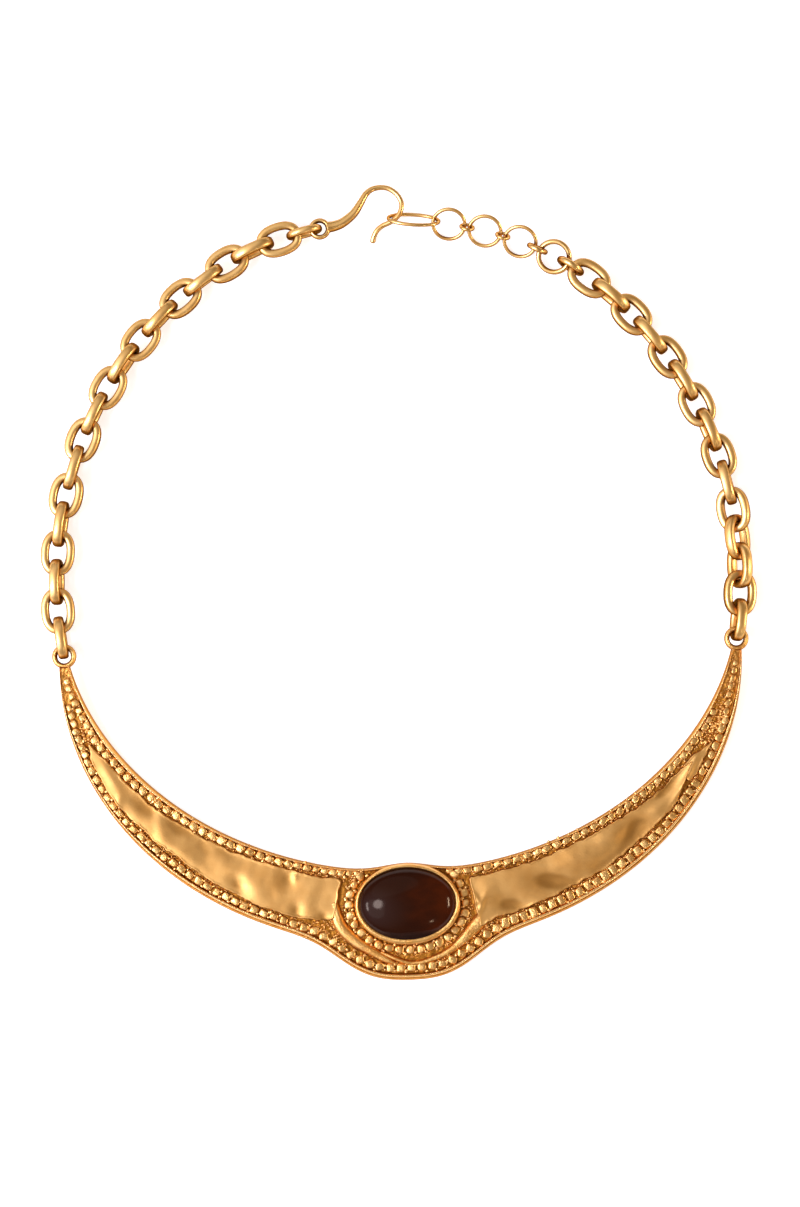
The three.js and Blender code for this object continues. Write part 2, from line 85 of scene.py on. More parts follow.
# Painted shade and tarnish in each part of the section: how dark it is, how fast it darkens downwards, and
# the share left at the tips.
PLATE_DUSK = Sizes(wall=0.8, fall=0.75, floor=0.8, back=0.3, quick=1.7, tip=0.35)
FLOOR_COLUMNS = 17
BACK_SHARES = (0.75, 0.5, 0.25)
CHANNEL_WIDTH = 4.0
CHANNEL_GAP = 0.02
PLATE_STEPS = 980
# Unevenness, as (height, size, seed) of each ripple: over the whole top, and more on the channel floors.
TOP_WAVES = [(0.05, 5.0, 1)]
FLOOR_WAVES = [(0.13, 0.55, 2), (0.1, 1.3, 3)]

# How the plate's section changes with the angle from its middle, which comes first in each row, in degrees:
# how wide a rim is for its profile, and how far a row of granules and the panel lie from the edge.
SECTION_COLUMNS = ("inner_rim", "inner_row", "inner_panel", "outer_rim", "outer_row", "outer_panel")
SECTIONS = np.array([
    (-77, 1.00, 3.10, 2.5, 0.60, 3.10, 2.0),
    (-73, 1.00, 2.90, 2.4, 0.60, 2.00, 2.0),
    (-68, 1.00, 1.96, 2.3, 0.60, 1.70, 2.0),
    (-64, 1.05, 1.85, 2.3, 0.60, 1.45, 2.0),
    (-60, 1.05, 1.75, 2.3, 0.60, 1.28, 1.95),
    (-52, 0.95, 1.55, 2.4, 0.62, 1.32, 2.05),
    (-46, 0.80, 1.45, 2.3, 0.80, 1.70, 2.7),
    (-40, 0.66, 1.28, 2.2, 0.90, 1.95, 3.15),
    (-32, 0.58, 1.18, 2.1, 0.95, 2.00, 3.1),
    (-25, 0.52, 1.08, 1.95, 1.00, 1.92, 2.8),
    (-18, 0.50, 0.98, 1.95, 1.00, 1.95, 3.0),
    (-15, 0.50, 0.95, 1.95, 1.00, 2.02, 3.9),
    (-13.2, 0.50, 0.93, 2.0, 1.00, 2.10, 5.0),
    (-12, 0.50, 0.92, 2.3, 1.00, 2.12, 6.0),
    (0, 0.50, 0.90, 1.8, 1.00, 2.25, 4.6),
    (12, 0.50, 0.90, 2.0, 1.00, 2.20, 3.9),
    (15, 0.50, 0.88, 2.05, 1.00, 2.15, 3.6),
    (18, 0.50, 0.88, 2.05, 1.00, 2.12, 3.1),
    (25, 0.50, 0.92, 2.1, 1.00, 2.05, 3.3),
    (30, 0.52, 0.96, 1.9, 1.00, 2.00, 3.5),
    (34, 0.54, 0.98, 1.85, 1.00, 2.00, 3.0),
    (40, 0.58, 1.00, 1.95, 1.00, 1.98, 3.3),
    (46, 0.70, 1.15, 2.5, 1.00, 1.95, 2.9),
    (55, 0.80, 1.22, 2.5, 1.00, 1.90, 2.8),
    (62, 0.85, 1.28, 2.5, 0.95, 1.75, 2.5),
    (66, 0.85, 1.50, 2.4, 0.90, 1.95, 2.4),
    (69, 0.85, 1.60, 2.4, 0.90, 2.90, 2.4),
    (77, 0.85, 1.60, 2.4, 0.90, 3.10, 2.4),
])

STONE = Sizes(half_wide=8.96, half_high=6.56, aside=-0.06, up=0.05, foot=1.68, girdle=2.9, top=6.88)
STONE_FOOT = Sizes(share=0.93, height=0.5)
STONE_DOME = Sizes(steps=120, levels=30, side_power=2.05, top_power=2.1)
BEZEL = Sizes(half_wide=9.38, half_high=7.12, inward_wide=1.3, inward_high=1.43, lift=0.25, lip=0.6)


def smooth_step(value, low, high):
    share = np.clip((value - low) / (high - low), 0, 1)
    return share * share * (3 - 2 * share)


def mix(low, high, share):
    return low + (high - low) * share


def edge_radius(edge, angle):
    """Distance from the middle of the neck to one of the plate's edges."""
    sin, cos = np.sin(angle), np.cos(angle)
    a = (sin / edge.half_wide) ** 2 + (cos / edge.half_high) ** 2
    b = 2 * cos * edge.mid_y / edge.half_high ** 2
    c = (edge.mid_y / edge.half_high) ** 2 - 1
    plain = (-b + np.sqrt(b * b - 4 * a * c)) / (2 * a)
    return plain + edge.swell * np.exp(-(np.abs(plain * sin) / edge.swell_wide) ** edge.power)


def polar(angle, radius, z):
    angle, radius, z = np.broadcast_arrays(angle, radius, z)
    return np.stack([radius * np.sin(angle), -radius * np.cos(angle), z], -1)


def station(angle):
    """The plate's edges and heights at an angle from its middle."""
    inner = edge_radius(INNER_EDGE, angle)
    outer = edge_radius(OUTER_EDGE, angle)
    crowd = np.minimum(1, (outer - inner) / SQUEEZE_WIDTH)
    hornward = smooth_step(np.abs(angle), HORN_RISE.start, HORN_ANGLE)
    base = HORN_RISE.height * hornward
    rim = base + mix(RIM.height, RIM.horn_height, hornward)
    floor = rim - FLOOR_DEPTH * (1 + crowd) / 2
    at = dict(inner=inner, outer=outer, width=outer - inner, crowd=crowd, base=base, rim=rim, floor=floor)
    for name, column in zip(SECTION_COLUMNS, SECTIONS.T[1:]):
        at[name] = crowd * np.interp(np.degrees(angle), SECTIONS[:, 0], column)
    return at


def ripple(points, size, seed):
    """Smooth noise between -1 and 1 at each point, with lumps about size apart."""
    offset = Vector((seed * 7.3, seed * 3.1, seed * 5.7))
    heights = [noise.noise(Vector(point) / size + offset) for point in points.reshape(-1, 3)]
    return np.reshape(heights, points.shape[:-1])


def waves(points, table):
    """The sum of ripples from a table of heights, sizes and seeds."""
    return sum(height * ripple(points, size, seed) for height, size, seed in table)


# ---------------- mesh tools


def full_turn(steps):
    """Angles evenly round a circle."""
    return np.linspace(0, 2 * math.pi, steps, endpoint=False)


def squared(wave, power):
    """A sine or cosine bent by a power below 1, so that its oval becomes squarer."""
    return np.sign(wave) * np.abs(wave) ** power


def headed(points, heading):
    """Points turned about the upright axis."""
    cos, sin = math.cos(heading), math.sin(heading)
    x, y, z = points[..., 0], points[..., 1], points[..., 2]
    return np.stack([x * cos - y * sin, x * sin + y * cos, z], -1)


def grid_quads(rows, columns, close_rows=False):
    """Quads between neighbours in closed rows of points."""
    row = np.arange(rows if close_rows else rows - 1)[:, None]
    column = np.arange(columns)[None, :]
    next_row = (row + 1) % rows
    next_column = (column + 1) % columns
    corners = [
        row * columns + column,
        row * columns + next_column,
        next_row * columns + next_column,
        next_row * columns + column,
    ]
    return np.stack(np.broadcast_arrays(*corners), -1).reshape(-1, 4)


# Steep flanks get painted shade: how dark it is, and between which slopes it fades.
FLANK = Sizes(shade=0.85, steep=0.1, level=0.55)
WIRE_FLANK = Sizes(shade=0.92, steep=0.25, level=0.86)
BEZEL_FLANK = Sizes(shade=0.55, steep=0.0, level=0.3)


def put(name, data):
    """A named thing in the scene, made from its mesh, lamp or camera data."""
    thing = bpy.data.objects.new(name, data)
    bpy.context.scene.collection.objects.link(thing)
    return thing


def add_piece(name, points, faces, finish, slot, replaces, hollow=None, flank=FLANK):
    """A mesh from points in millimetres. hollow is 1 for a point deep in a crevice, which gets tarnish and
    painted shade, and below 0 for a worn, polished crest or crown, whose colour gets a painted highlight and
    whose roughness drops. Steep flanks get painted shade as well."""
    mesh = bpy.data.meshes.new(name)
    mesh.from_pydata((np.asarray(points, float).reshape(-1, 3) * MM + SHIFT).tolist(), [], faces)
    shell = bmesh.new()
    shell.from_mesh(mesh)
    bmesh.ops.recalc_face_normals(shell, faces=shell.faces)
    shell.to_mesh(mesh)
    shell.free()
    mesh.polygons.foreach_set("use_smooth", [True] * len(mesh.polygons))
    if hollow is not None:
        normals = np.empty(3 * len(mesh.vertices), np.float32)
        mesh.vertices.foreach_get("normal", normals)
        # Painted shade on steep flanks, added to the painted shade and highlight carried in by hollow.
        steep = 1 - smooth_step(np.abs(normals[2::3]), flank.steep, flank.level)
        hollow = np.asarray(hollow, np.float32).ravel()
        shade_and_highlight = np.maximum(hollow, flank.shade * steep) + np.minimum(hollow, 0) * (1 - steep)
        attribute = mesh.attributes.new("hollow", "FLOAT", "POINT")
        attribute.data.foreach_set("value", shade_and_highlight.astype(np.float32))
    mesh.materials.append(finish)
    piece = put(name, mesh)
    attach(piece, "root")
    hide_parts(*replaces)


def bead_faces(levels, sides):
    """Faces of a bead: level rings from its foot up, a fan to its crown and a flat base."""
    crown = levels * sides
    last = crown - sides
    faces = grid_quads(levels, sides).tolist()
    faces += [[last + side, last + (side + 1) % sides, crown] for side in range(sides)]
    faces.append(list(range(sides))[::-1])
    return faces


def sweep(rings, close_rows=False):
    """Points and faces of a tube through rings of points, capped where it isn't closed."""
    rows, columns = rings.shape[:2]
    faces = grid_quads(rows, columns, close_rows=close_rows).tolist()
    if not close_rows:
        faces.append(list(range(columns))[::-1])
        faces.append([(rows - 1) * columns + column for column in range(columns)])
    return rings.reshape(-1, 3), faces


def join_copies(copies):
    """One set of points, faces and hollows from a list of them."""
    points, copied_faces, hollows = zip(*copies)
    faces, count = [], 0
    for copy_points, copy_faces in zip(points, copied_faces):
        faces.extend([corner + count for corner in face] for face in copy_faces)
        count += len(copy_points)
    return np.concatenate(points), faces, np.concatenate(hollows)


def smooth_run(table, steps):
    """A smooth run through the rows of a table, which passes through every row."""
    rows = np.array(table, float)
    rows = np.vstack([2 * rows[0] - rows[1], rows, 2 * rows[-1] - rows[-2]])
    place = np.linspace(0, len(table) - 1, steps)
    index = np.minimum(place.astype(int), len(table) - 2)
    share = (place - index)[:, None]
    before, here, after, beyond = (rows[index + shift] for shift in range(4))
    bend = 2 * before - 5 * here + 4 * after - beyond
    twist = 3 * here - before - 3 * after + beyond
    return 0.5 * (2 * here + (after - before) * share + bend * share ** 2 + twist * share ** 3)


# ---------------- finishes


class Value:
    """A shader socket that takes part in Python expressions."""

    def __init__(self, finish, socket):
        self.finish = finish
        self.socket = socket

    def join(self, operation, first, second):
        return self.finish.node("ShaderNodeMath", dict(operation=operation), {0: first, 1: second})

    def __add__(self, other):
        return self.join("ADD", self, other)

    __radd__ = __add__

    def __sub__(self, other):
        return self.join("SUBTRACT", self, other)

    def __rsub__(self, other):
        return self.join("SUBTRACT", other, self)

    def __mul__(self, other):
        return self.join("MULTIPLY", self, other)

    __rmul__ = __mul__


class Nodes:
    """A node tree, and the one way in which nodes are added to it."""

    def __init__(self, tree):
        self.tree = tree

    def feed(self, socket, value):
        if isinstance(value, Value):
            self.tree.links.new(value.socket, socket)
        else:
            socket.default_value = value

    def node(self, kind, settings, inputs, output=0):
        node = self.tree.nodes.new(kind)
        for setting, value in settings.items():
            setattr(node, setting, value)
        for socket, value in inputs.items():
            self.feed(node.inputs[socket], value)
        return Value(self, node.outputs[output])

    def blend(self, share, first, second):
        """Mixes two colours."""
        return self.node("ShaderNodeMix", dict(data_type="RGBA"), {0: share, 6: first, 7: second}, 2)

    def along(self, vector, axis):
        return self.node("ShaderNodeSeparateXYZ", {}, {0: vector}, axis)

    def between(self, value, low, high):
        """Stretches a value so that low becomes 0 and high 1."""
        return self.node("ShaderNodeMapRange", dict(interpolation_type="SMOOTHSTEP"), {
            "Value": value, "From Min": low, "From Max": high,
        })


class Finish(Nodes):
    """A material whose nodes start from where a point lies."""

    def __init__(self, name, constants):
        self.material = bpy.data.materials.new(name)
        self.material.use_nodes = True
        super().__init__(self.material.node_tree)
        self.surface = self.tree.nodes["Principled BSDF"]
        for socket, value in constants.items():
            self.surface.inputs[socket].default_value = value

    def place(self, stretch=(1, 1, 1)):
        """Where a point lies, in millimetres, stretched along each axis."""
        where = self.node("ShaderNodeTexCoord", {}, {}, "Object")
        scale = tuple(1000 * share for share in stretch)
        return self.node("ShaderNodeVectorMath", dict(operation="MULTIPLY"), {0: where, 1: scale})

    def lumps(self, size, detail=3.0, stretch=(1, 1, 1), rough=0.5):
        """Noise from 0 to 1 with lumps of a size in millimetres."""
        return self.node("ShaderNodeTexNoise", {}, {
            "Vector": self.place(stretch), "Scale": 1 / size, "Detail": detail, "Roughness": rough,
        }, "Fac")

    def hollow(self):
        return self.node("ShaderNodeAttribute", dict(attribute_name="hollow"), {}, "Fac")

    def bump(self, height, depth):
        """A normal from a height from 0 to 1 that stands for a depth in millimetres."""
        return self.node("ShaderNodeBump", {}, {
            "Strength": 1.0, "Distance": depth * MM, "Height": height,
        }, "Normal")

    def dress(self, varying):
        for socket, value in varying.items():
            self.feed(self.surface.inputs[socket], value)
        return self.material


BRIGHT_GOLD = (1.0, 0.605, 0.21, 1)
PALE_GOLD = (0.93, 0.52, 0.155, 1)
WARM_GOLD = (0.85, 0.395, 0.088, 1)
# A paler gold for the painted highlight on worn crests and granule crowns.
HIGHLIGHT_GOLD = (1.0, 0.63, 0.235, 1)
SATIN_PALE = (0.78, 0.43, 0.128, 1)
SATIN_WARM = (0.70, 0.335, 0.077, 1)
# A darker gold for painted shade in the panels' dents and along their edges.
SATIN_DUSK = (0.46, 0.21, 0.042, 1)
# The next two colours paint tarnish and shade into hollows and onto steep flanks.
DEEP_GOLD = (0.60, 0.24, 0.028, 1)
TARNISH_AND_SHADE = (0.11, 0.030, 0.003, 1)
EDGE_GLOSS = (0.80, 0.58, 0.36, 1)
STONE_GLOSS = (1, 0.78, 0.58, 1)
STONE_DULL = (0.022, 0.0048, 0.0020, 1)
# A painted glow of light through the stone, for its right side.
STONE_GLOW = (0.061, 0.0094, 0.0018, 1)
STONE_VEIN = (0.020, 0.004, 0.002, 1)
# Painted shade for the stone's lower edge.
STONE_SHADE = (0.010, 0.0012, 0.0005, 1)


def gold(name, pale, warm, roughness, grain, grain_depth, tarnish_and_shade=1.0):
    """Gold plate: warm mottling, tarnish and painted shade in the hollows and on steep flanks, a painted
    highlight on worn crests, and a fine cast grain.
    """
    finish = Finish(name, {"Metallic": 1.0, "Coat Roughness": 0.2, "Specular Tint": EDGE_GLOSS})
    mottle = finish.between(finish.lumps(3.2, 4), 0.35, 0.68)
    speck = finish.lumps(0.35, 2)
    # deep carries tarnish and painted shade in hollows and on flanks, and below 0 the painted highlight on
    # crests and crowns.
    deep = finish.hollow() * tarnish_and_shade
    # Worn crests and granule crowns are painted brighter: a painted highlight.
    highlight_mask = finish.between(finish.hollow() * -1, 0.0, 0.6)
    clean = finish.blend(highlight_mask, finish.blend(mottle, pale, warm), HIGHLIGHT_GOLD)
    # Hollows and steep flanks darken, first to a deep gold and then to near black-brown: tarnish and painted
    # shade.
    dusky = finish.blend(finish.between(deep + speck * 0.3, 0.3, 0.85), clean, DEEP_GOLD)
    colour = finish.blend(finish.between(deep + speck * 0.35, 0.82, 1.25), dusky, TARNISH_AND_SHADE)
    return finish.dress({
        "Base Color": colour,
        "Coat Weight": 0.4 - deep * 0.4,
        "Roughness": finish.lumps(1.1, 3) * 0.14 + deep * 0.18 + (roughness - 0.07),
        "Normal": finish.bump(finish.lumps(grain, 3, rough=0.65), grain_depth),
    })


def panel_gold():
    """The smooth panels: satin, softly mottled, with fine rubbed lines, and painted shade in their dents and
    along their edges.
    """
    finish = Finish("panel gold", {
        "Metallic": 1.0, "Coat Weight": 0.2, "Coat Roughness": 0.4, "Specular Tint": EDGE_GLOSS,
    })
    mottle = finish.between(finish.lumps(5.0, 4), 0.3, 0.7)
    rubbed = finish.lumps(0.5, 3, stretch=(0.35, 1.6, 1))
    colour = finish.blend(mottle * 0.6 + rubbed * 0.3, SATIN_PALE, SATIN_WARM)
    # The painted shade, broken into random patches.
    patches = finish.lumps(0.4, 2) * 0.12 + finish.lumps(1.6, 3) * 0.25
    dusk = finish.between(finish.hollow() + patches, 0.28, 1.05)
    return finish.dress({
        "Base Color": finish.blend(dusk, colour, SATIN_DUSK),
        "Roughness": finish.lumps(0.8, 4) * 0.16 + rubbed * 0.06 + 0.37,
        "Normal": finish.bump(finish.lumps(0.28, 4, rough=0.6) * 0.6 + rubbed * 0.4, 0.02),
    })


def stone_finish():
    """Dark red-brown stone: darker and duller on its left, with a painted glow of light on its right and
    painted shade along its lower edge.
    """
    finish = Finish("brown stone", {"IOR": 1.4, "Specular IOR Level": 0.2, "Specular Tint": STONE_GLOSS})
    across, up = finish.along(finish.place(), "X"), finish.along(finish.place(), "Y")
    cloud = finish.lumps(4.5, 4, stretch=(0.7, 1.1, 1))
    veins = finish.between(finish.lumps(2.4, 5, stretch=(0.8, 1.4, 1), rough=0.6), 0.4, 0.75)
    # Painted glow of light, growing towards the right and broken by the stone's own clouds.
    glow = finish.between(across * 0.09 + cloud, 0.45, 1.25)
    body = finish.blend(veins * 0.45, finish.blend(glow, STONE_DULL, STONE_GLOW), STONE_VEIN)
    # Painted shade along the lower edge.
    lower = finish.between(up * -1 + cloud * 2.0, -STONE_CENTRE[1] + 5.0, -STONE_CENTRE[1] + 6.8)
    return finish.dress({
        "Base Color": finish.blend(lower * 0.95, body, STONE_SHADE),
        "Roughness": finish.lumps(1.6, 4) * 0.06 + lower * 0.7 + 0.09,
        "Normal": finish.bump(finish.lumps(0.9, 3), 0.006),
    })


def table_finish():
    """The white floor, bright enough to lose nearly every shadow."""
    finish = Finish("pale table", {
        "Specular IOR Level": 0.2, "Emission Color": (1, 1, 1, 1), "Emission Strength": 0.62,
    })
    return finish.dress({
        "Base Color": finish.blend(finish.lumps(60, 2), (0.78, 0.78, 0.78, 1), (0.80, 0.80, 0.80, 1)),
        "Roughness": finish.lumps(30, 2) * 0.1 + 0.7,
    })


CAST_GOLD = gold("cast gold", PALE_GOLD, WARM_GOLD, 0.34, 0.34, 0.09)
CHAIN_GOLD = gold("chain gold", BRIGHT_GOLD, PALE_GOLD, 0.36, 0.45, 0.014, tarnish_and_shade=1.15)
WIRE_GOLD = gold("wire gold", BRIGHT_GOLD, PALE_GOLD, 0.28, 0.5, 0.006, tarnish_and_shade=1.2)
PANEL_GOLD = panel_gold()
BROWN_STONE = stone_finish()

# ---------------- the plate's body


def plate_body():
    """The crescent with its rims, rough channel floors and flat back."""
    angles = np.linspace(-HORN_ANGLE, HORN_ANGLE, PLATE_STEPS)
    at = station(angles)
    columns, depths = [], []

    def add_column(side, inward, z, depth):
        radius = at["inner"] + inward if side == "inner" else at["outer"] - inward
        columns.append(polar(angles, radius, z))
        depths.append(depth * mix(PLATE_DUSK.tip, 1, at["crowd"]))

    def add_profile(side, profile, low, darkest):
        for distance, share in profile:
            # Tarnish and painted shade grow down the walls into the channels.
            crevice = darkest * min(1, PLATE_DUSK.quick * (1 - share))
            # Below 0 at the crest: a painted highlight.
            depth = crevice if share < CREST.share else -CREST.wear
            add_column(side, distance * at[side + "_rim"], mix(low, at["rim"], share), depth)

    def add_floor(side, shares):
        rim_end = at[side + "_rim"] * (INNER_FALL if side == "inner" else OUTER_FALL)[-1][0]
        deepest = np.minimum(CHANNEL_WIDTH * at["crowd"], at["width"] / 2 - CHANNEL_GAP)
        for share in shares:
            add_column(side, mix(rim_end, deepest, share), at["floor"], PLATE_DUSK.floor)

    shares = np.linspace(0, 1, FLOOR_COLUMNS + 1)[1:]
    add_profile("inner", INNER_WALL, at["base"], PLATE_DUSK.wall)
    add_profile("inner", INNER_FALL, at["floor"], PLATE_DUSK.fall)
    first_floor = len(columns)
    add_floor("inner", shares)
    add_floor("outer", shares[::-1])
    last_floor = len(columns)
    add_profile("outer", OUTER_FALL[::-1], at["floor"], PLATE_DUSK.fall)
    add_profile("outer", OUTER_WALL[::-1], at["base"], PLATE_DUSK.wall)
    last_top = len(columns) - 1
    for share in BACK_SHARES:
        columns.append(polar(angles, mix(at["inner"], at["outer"], share), at["base"]))
        depths.append(np.full(len(angles), PLATE_DUSK.back))
    points = np.stack(columns, 1)
    top = points[:, 1:last_top]
    top[..., 2] += waves(top, TOP_WAVES)
    rough = points[:, first_floor - 2:last_floor + 2]
    rough[..., 2] += waves(rough, FLOOR_WAVES)
    return (*sweep(points), np.stack(depths, 1).ravel())


RING_STEPS = 48
RING_SIDES = 16
# Painted shade on the inner side of a ring's wire.
INSIDE_DUSK = 0.7


def flat_ring(ring, side=1):
    """A small flattened ring that lies flat, on one side of the middle or the other."""
    turn = full_turn(RING_STEPS)[:, None]
    round_wire = full_turn(RING_SIDES)[None, :]
    middle = (ring.outer + ring.hole) / 2
    wire = (ring.outer - ring.hole) / 2
    radius = middle + wire * np.cos(round_wire)
    rings = np.stack([
        side * ring.x + radius * np.cos(turn),
        ring.y + radius * np.sin(turn),
        ring.z + ring.thickness / 2 * np.sin(round_wire) + 0 * turn,
    ], -1)
    # Painted shade on the wire's inner side.
    inside = np.clip(-np.cos(round_wire), 0, 1) * INSIDE_DUSK + 0 * turn
    return (*sweep(rings, close_rows=True), inside.ravel())


# ---------------- the smooth panels

# Dents and ridges: angle from the plate's middle, share of the way across, half length and half width, how
# far they are turned from the plate's run in degrees, and height (negative for dents).
DENTS = [
    # angle, across, long, wide, turn, height
    (-56.5, 0.52, 5.0, 0.9, 6, 0.14),
    (-53.0, 0.70, 1.3, 0.8, 40, 0.16),
    (-49.5, 0.38, 4.2, 1.8, -12, -0.34),
    (-45.9, 0.42, 3.4, 1.1, 40, 0.15),
    (-42.5, 0.28, 3.4, 2.2, -10, -0.34),
    (-40.5, 0.62, 5.5, 1.5, 0, 0.20),
    (-37.0, 0.40, 3.0, 1.8, 30, -0.22),
    (-31.9, 0.26, 4.4, 1.7, 0, -0.26),
    (-29.0, 0.60, 2.0, 1.2, 20, -0.30),
    (-26.0, 0.62, 3.2, 1.9, 20, 0.26),
    (-22.0, 0.30, 2.2, 1.6, 40, -0.30),
    (-20.7, 0.24, 0.9, 0.6, 60, 0.14),
    (-18.7, 0.68, 1.3, 1.0, 60, -0.26),
    (-17.0, 0.50, 1.6, 3.2, 0, 0.11),
    (-15.2, 0.40, 3.0, 2.2, 0, -0.12),
    (-13.9, 0.66, 1.2, 1.0, 30, -0.27),
    (12.0, 0.44, 2.0, 0.45, 0, 0.22),
    (12.2, 0.40, 1.6, 0.45, 70, 0.17),
    (12.5, 0.52, 2.0, 0.5, -50, 0.20),
    (14.4, 0.40, 2.4, 2.6, 0, 0.22),
    (17.6, 0.64, 2.8, 1.4, 20, -0.42),
    (20.8, 0.32, 4.2, 2.2, 10, 0.24),
    (25.0, 0.50, 4.6, 1.9, 30, -0.60),
    (30.5, 0.38, 6.0, 2.2, 0, 0.27),
    (34.5, 0.66, 4.6, 1.4, 0, -0.24),
    (38.0, 0.36, 3.4, 1.8, 20, 0.30),
    (42.0, 0.50, 3.8, 1.8, -10, -0.60),
    (46.2, 0.46, 3.2, 1.5, 20, 0.30),
    (50.4, 0.36, 4.0, 1.0, 0, -0.34),
    (53.3, 0.54, 4.2, 0.55, -10, 0.34),
]
# How the panels' edges roll over, as (distance in from the edge, share of the height above the floor).
PANEL_ROLL = [(0, -0.3), (0.02, 0.35), (0.07, 0.72), (0.15, 0.93), (0.26, 1.0), (0.42, 1.0)]
# Where a panel is less than wide across, the roll shrinks, down to the least share. arm is how far out from
# the inner edge a panel's run is measured.
PANEL = Sizes(wide=1.2, least=0.3, arm=5, foot=0.35, depth=0.16, crown=0.42, lift=0.6, steps=520, columns=24)
# Unevenness of the top, as (height, size, seed), and of the edges, as (height, size).
PANEL_WAVES = [(0.10, 5.0, 4), (0.035, 1.8, 5)]
PANEL_LOBES = [(0.26, 3.0), (0.24, 1.2), (0.11, 0.5)]
# The melted ridge along the edge, the flare and the waviness of the end beside the stone.
PANEL_MELT = Sizes(height=0.09, distance=0.2, wide=0.13, patches=2.2)
PANEL_END = Sizes(flare=0.5, flare_long=0.3, wave=0.004, wave_size=1.6, wave_long=1.2)
# How the points crowd towards the tip, how full the tip is, and half of its blunt width.
PANEL_TIP = Sizes(crowd=1.2, full=0.8, blunt=0.02)
# Painted shade along the panels' edges and in their dents: how dark, and over what width or depth.
EDGE_DUSK = Sizes(dark=0.9, wide=0.12)
DENT_DUSK = Sizes(dark=0.85, deep=0.42)


def hammered(angles, shares, at):
    """Height of the dents and ridges on the panels."""
    height = 0 * angles
    along = at["inner"] + at["width"] / 2
    for angle, across, long, wide, turn, rise in DENTS:
        run = (angles - radians(angle)) * along
        aside = (shares - across) * at["width"]
        cos, sin = math.cos(radians(turn)), math.sin(radians(turn))
        far = ((run * cos + aside * sin) / long) ** 2 + ((aside * cos - run * sin) / wide) ** 2
        height = height + rise * np.exp(-far)
    return height


def panel(side, end, tip, tip_share, inner_tip, outer_tip, drop, seed):
    """One smooth panel with edges that look melted, from its end beside the stone to its pointed tip."""
    share = np.linspace(0, 1, PANEL.steps)[:, None]
    angles = side * mix(end, tip, 1 - (1 - share) ** PANEL_TIP.crowd)
    at = station(angles)
    run = np.abs(angles - angles[0]) * (at["inner"] + PANEL.arm)
    to_tip = run[-1] - run
    point = at["inner"] + at["width"] * tip_share
    flare = PANEL_END.flare * np.exp(-run / PANEL_END.flare_long)
    edges = []
    for index, (edge, tip_length, out) in enumerate((("inner", inner_tip, 1), ("outer", outer_tip, -1))):
        middle = polar(angles, at[edge], 0)
        lobes = waves(middle, [(*lobe, seed + index + place) for place, lobe in enumerate(PANEL_LOBES)])
        plain = at[edge] + out * (at[edge + "_panel"] + lobes + flare)
        narrow = np.clip(to_tip / tip_length, 0, 1) ** PANEL_TIP.full
        edges.append(mix(point - out * PANEL_TIP.blunt, plain, narrow))
    low = edges[0]
    high = np.maximum(edges[1], low + 2 * PANEL_TIP.blunt)
    reach, height = np.array(PANEL_ROLL).T
    shrink = np.minimum(1, (high - low) / PANEL.wide)
    inner_rows = low + reach * shrink
    outer_rows = (high - reach * shrink)[:, ::-1]
    inside = np.linspace(0, 1, PANEL.columns + 2)[None, 1:-1]
    middle_rows = mix(inner_rows[:, -1:], outer_rows[:, :1], inside)
    radii = np.concatenate([inner_rows, middle_rows, outer_rows], 1)
    shares = (radii - at["inner"]) / at["width"]
    end_line = np.stack([radii, 0 * radii, 0 * radii], -1)
    end_waves = waves(end_line, [(PANEL_END.wave, PANEL_END.wave_size, seed + 9)])
    turned = angles + end_waves * np.exp(-run / PANEL_END.wave_long)
    flat = polar(turned, radii, 0)
    from_edge = np.minimum(np.minimum(radii - low, high - radii), np.minimum(run, to_tip))
    rise = np.interp(from_edge / np.maximum(shrink, PANEL.least), reach, height)
    melt = PANEL_MELT.height * np.exp(-((from_edge - PANEL_MELT.distance) / PANEL_MELT.wide) ** 2)
    melt = melt * np.clip(1 + 2 * ripple(flat, PANEL_MELT.patches, seed + 4), 0, 2)
    dents = hammered(turned, shares, at) + waves(flat, PANEL_WAVES)
    crown = PANEL.crown * (PANEL.lift - (2 * shares - 1) ** 2)
    top = at["rim"] - PANEL.depth + crown + dents - drop
    points = polar(turned, radii, at["floor"] + (top - at["floor"]) * rise + melt)
    under = polar(turned[:, [-1, 0]], radii[:, [-1, 0]], at["floor"] - PANEL.foot)
    # Painted shade along the edges and in the dents.
    edge_dusk = EDGE_DUSK.dark * np.clip(1 - from_edge / EDGE_DUSK.wide, 0, 1)
    dent_dusk = DENT_DUSK.dark * smooth_step(-dents, 0.0, DENT_DUSK.deep)
    hollow = np.concatenate([np.maximum(edge_dusk, dent_dusk), np.ones_like(under[..., 0])], 1)
    return (*sweep(np.concatenate([points, under], 1)), hollow.ravel())


# ---------------- granules

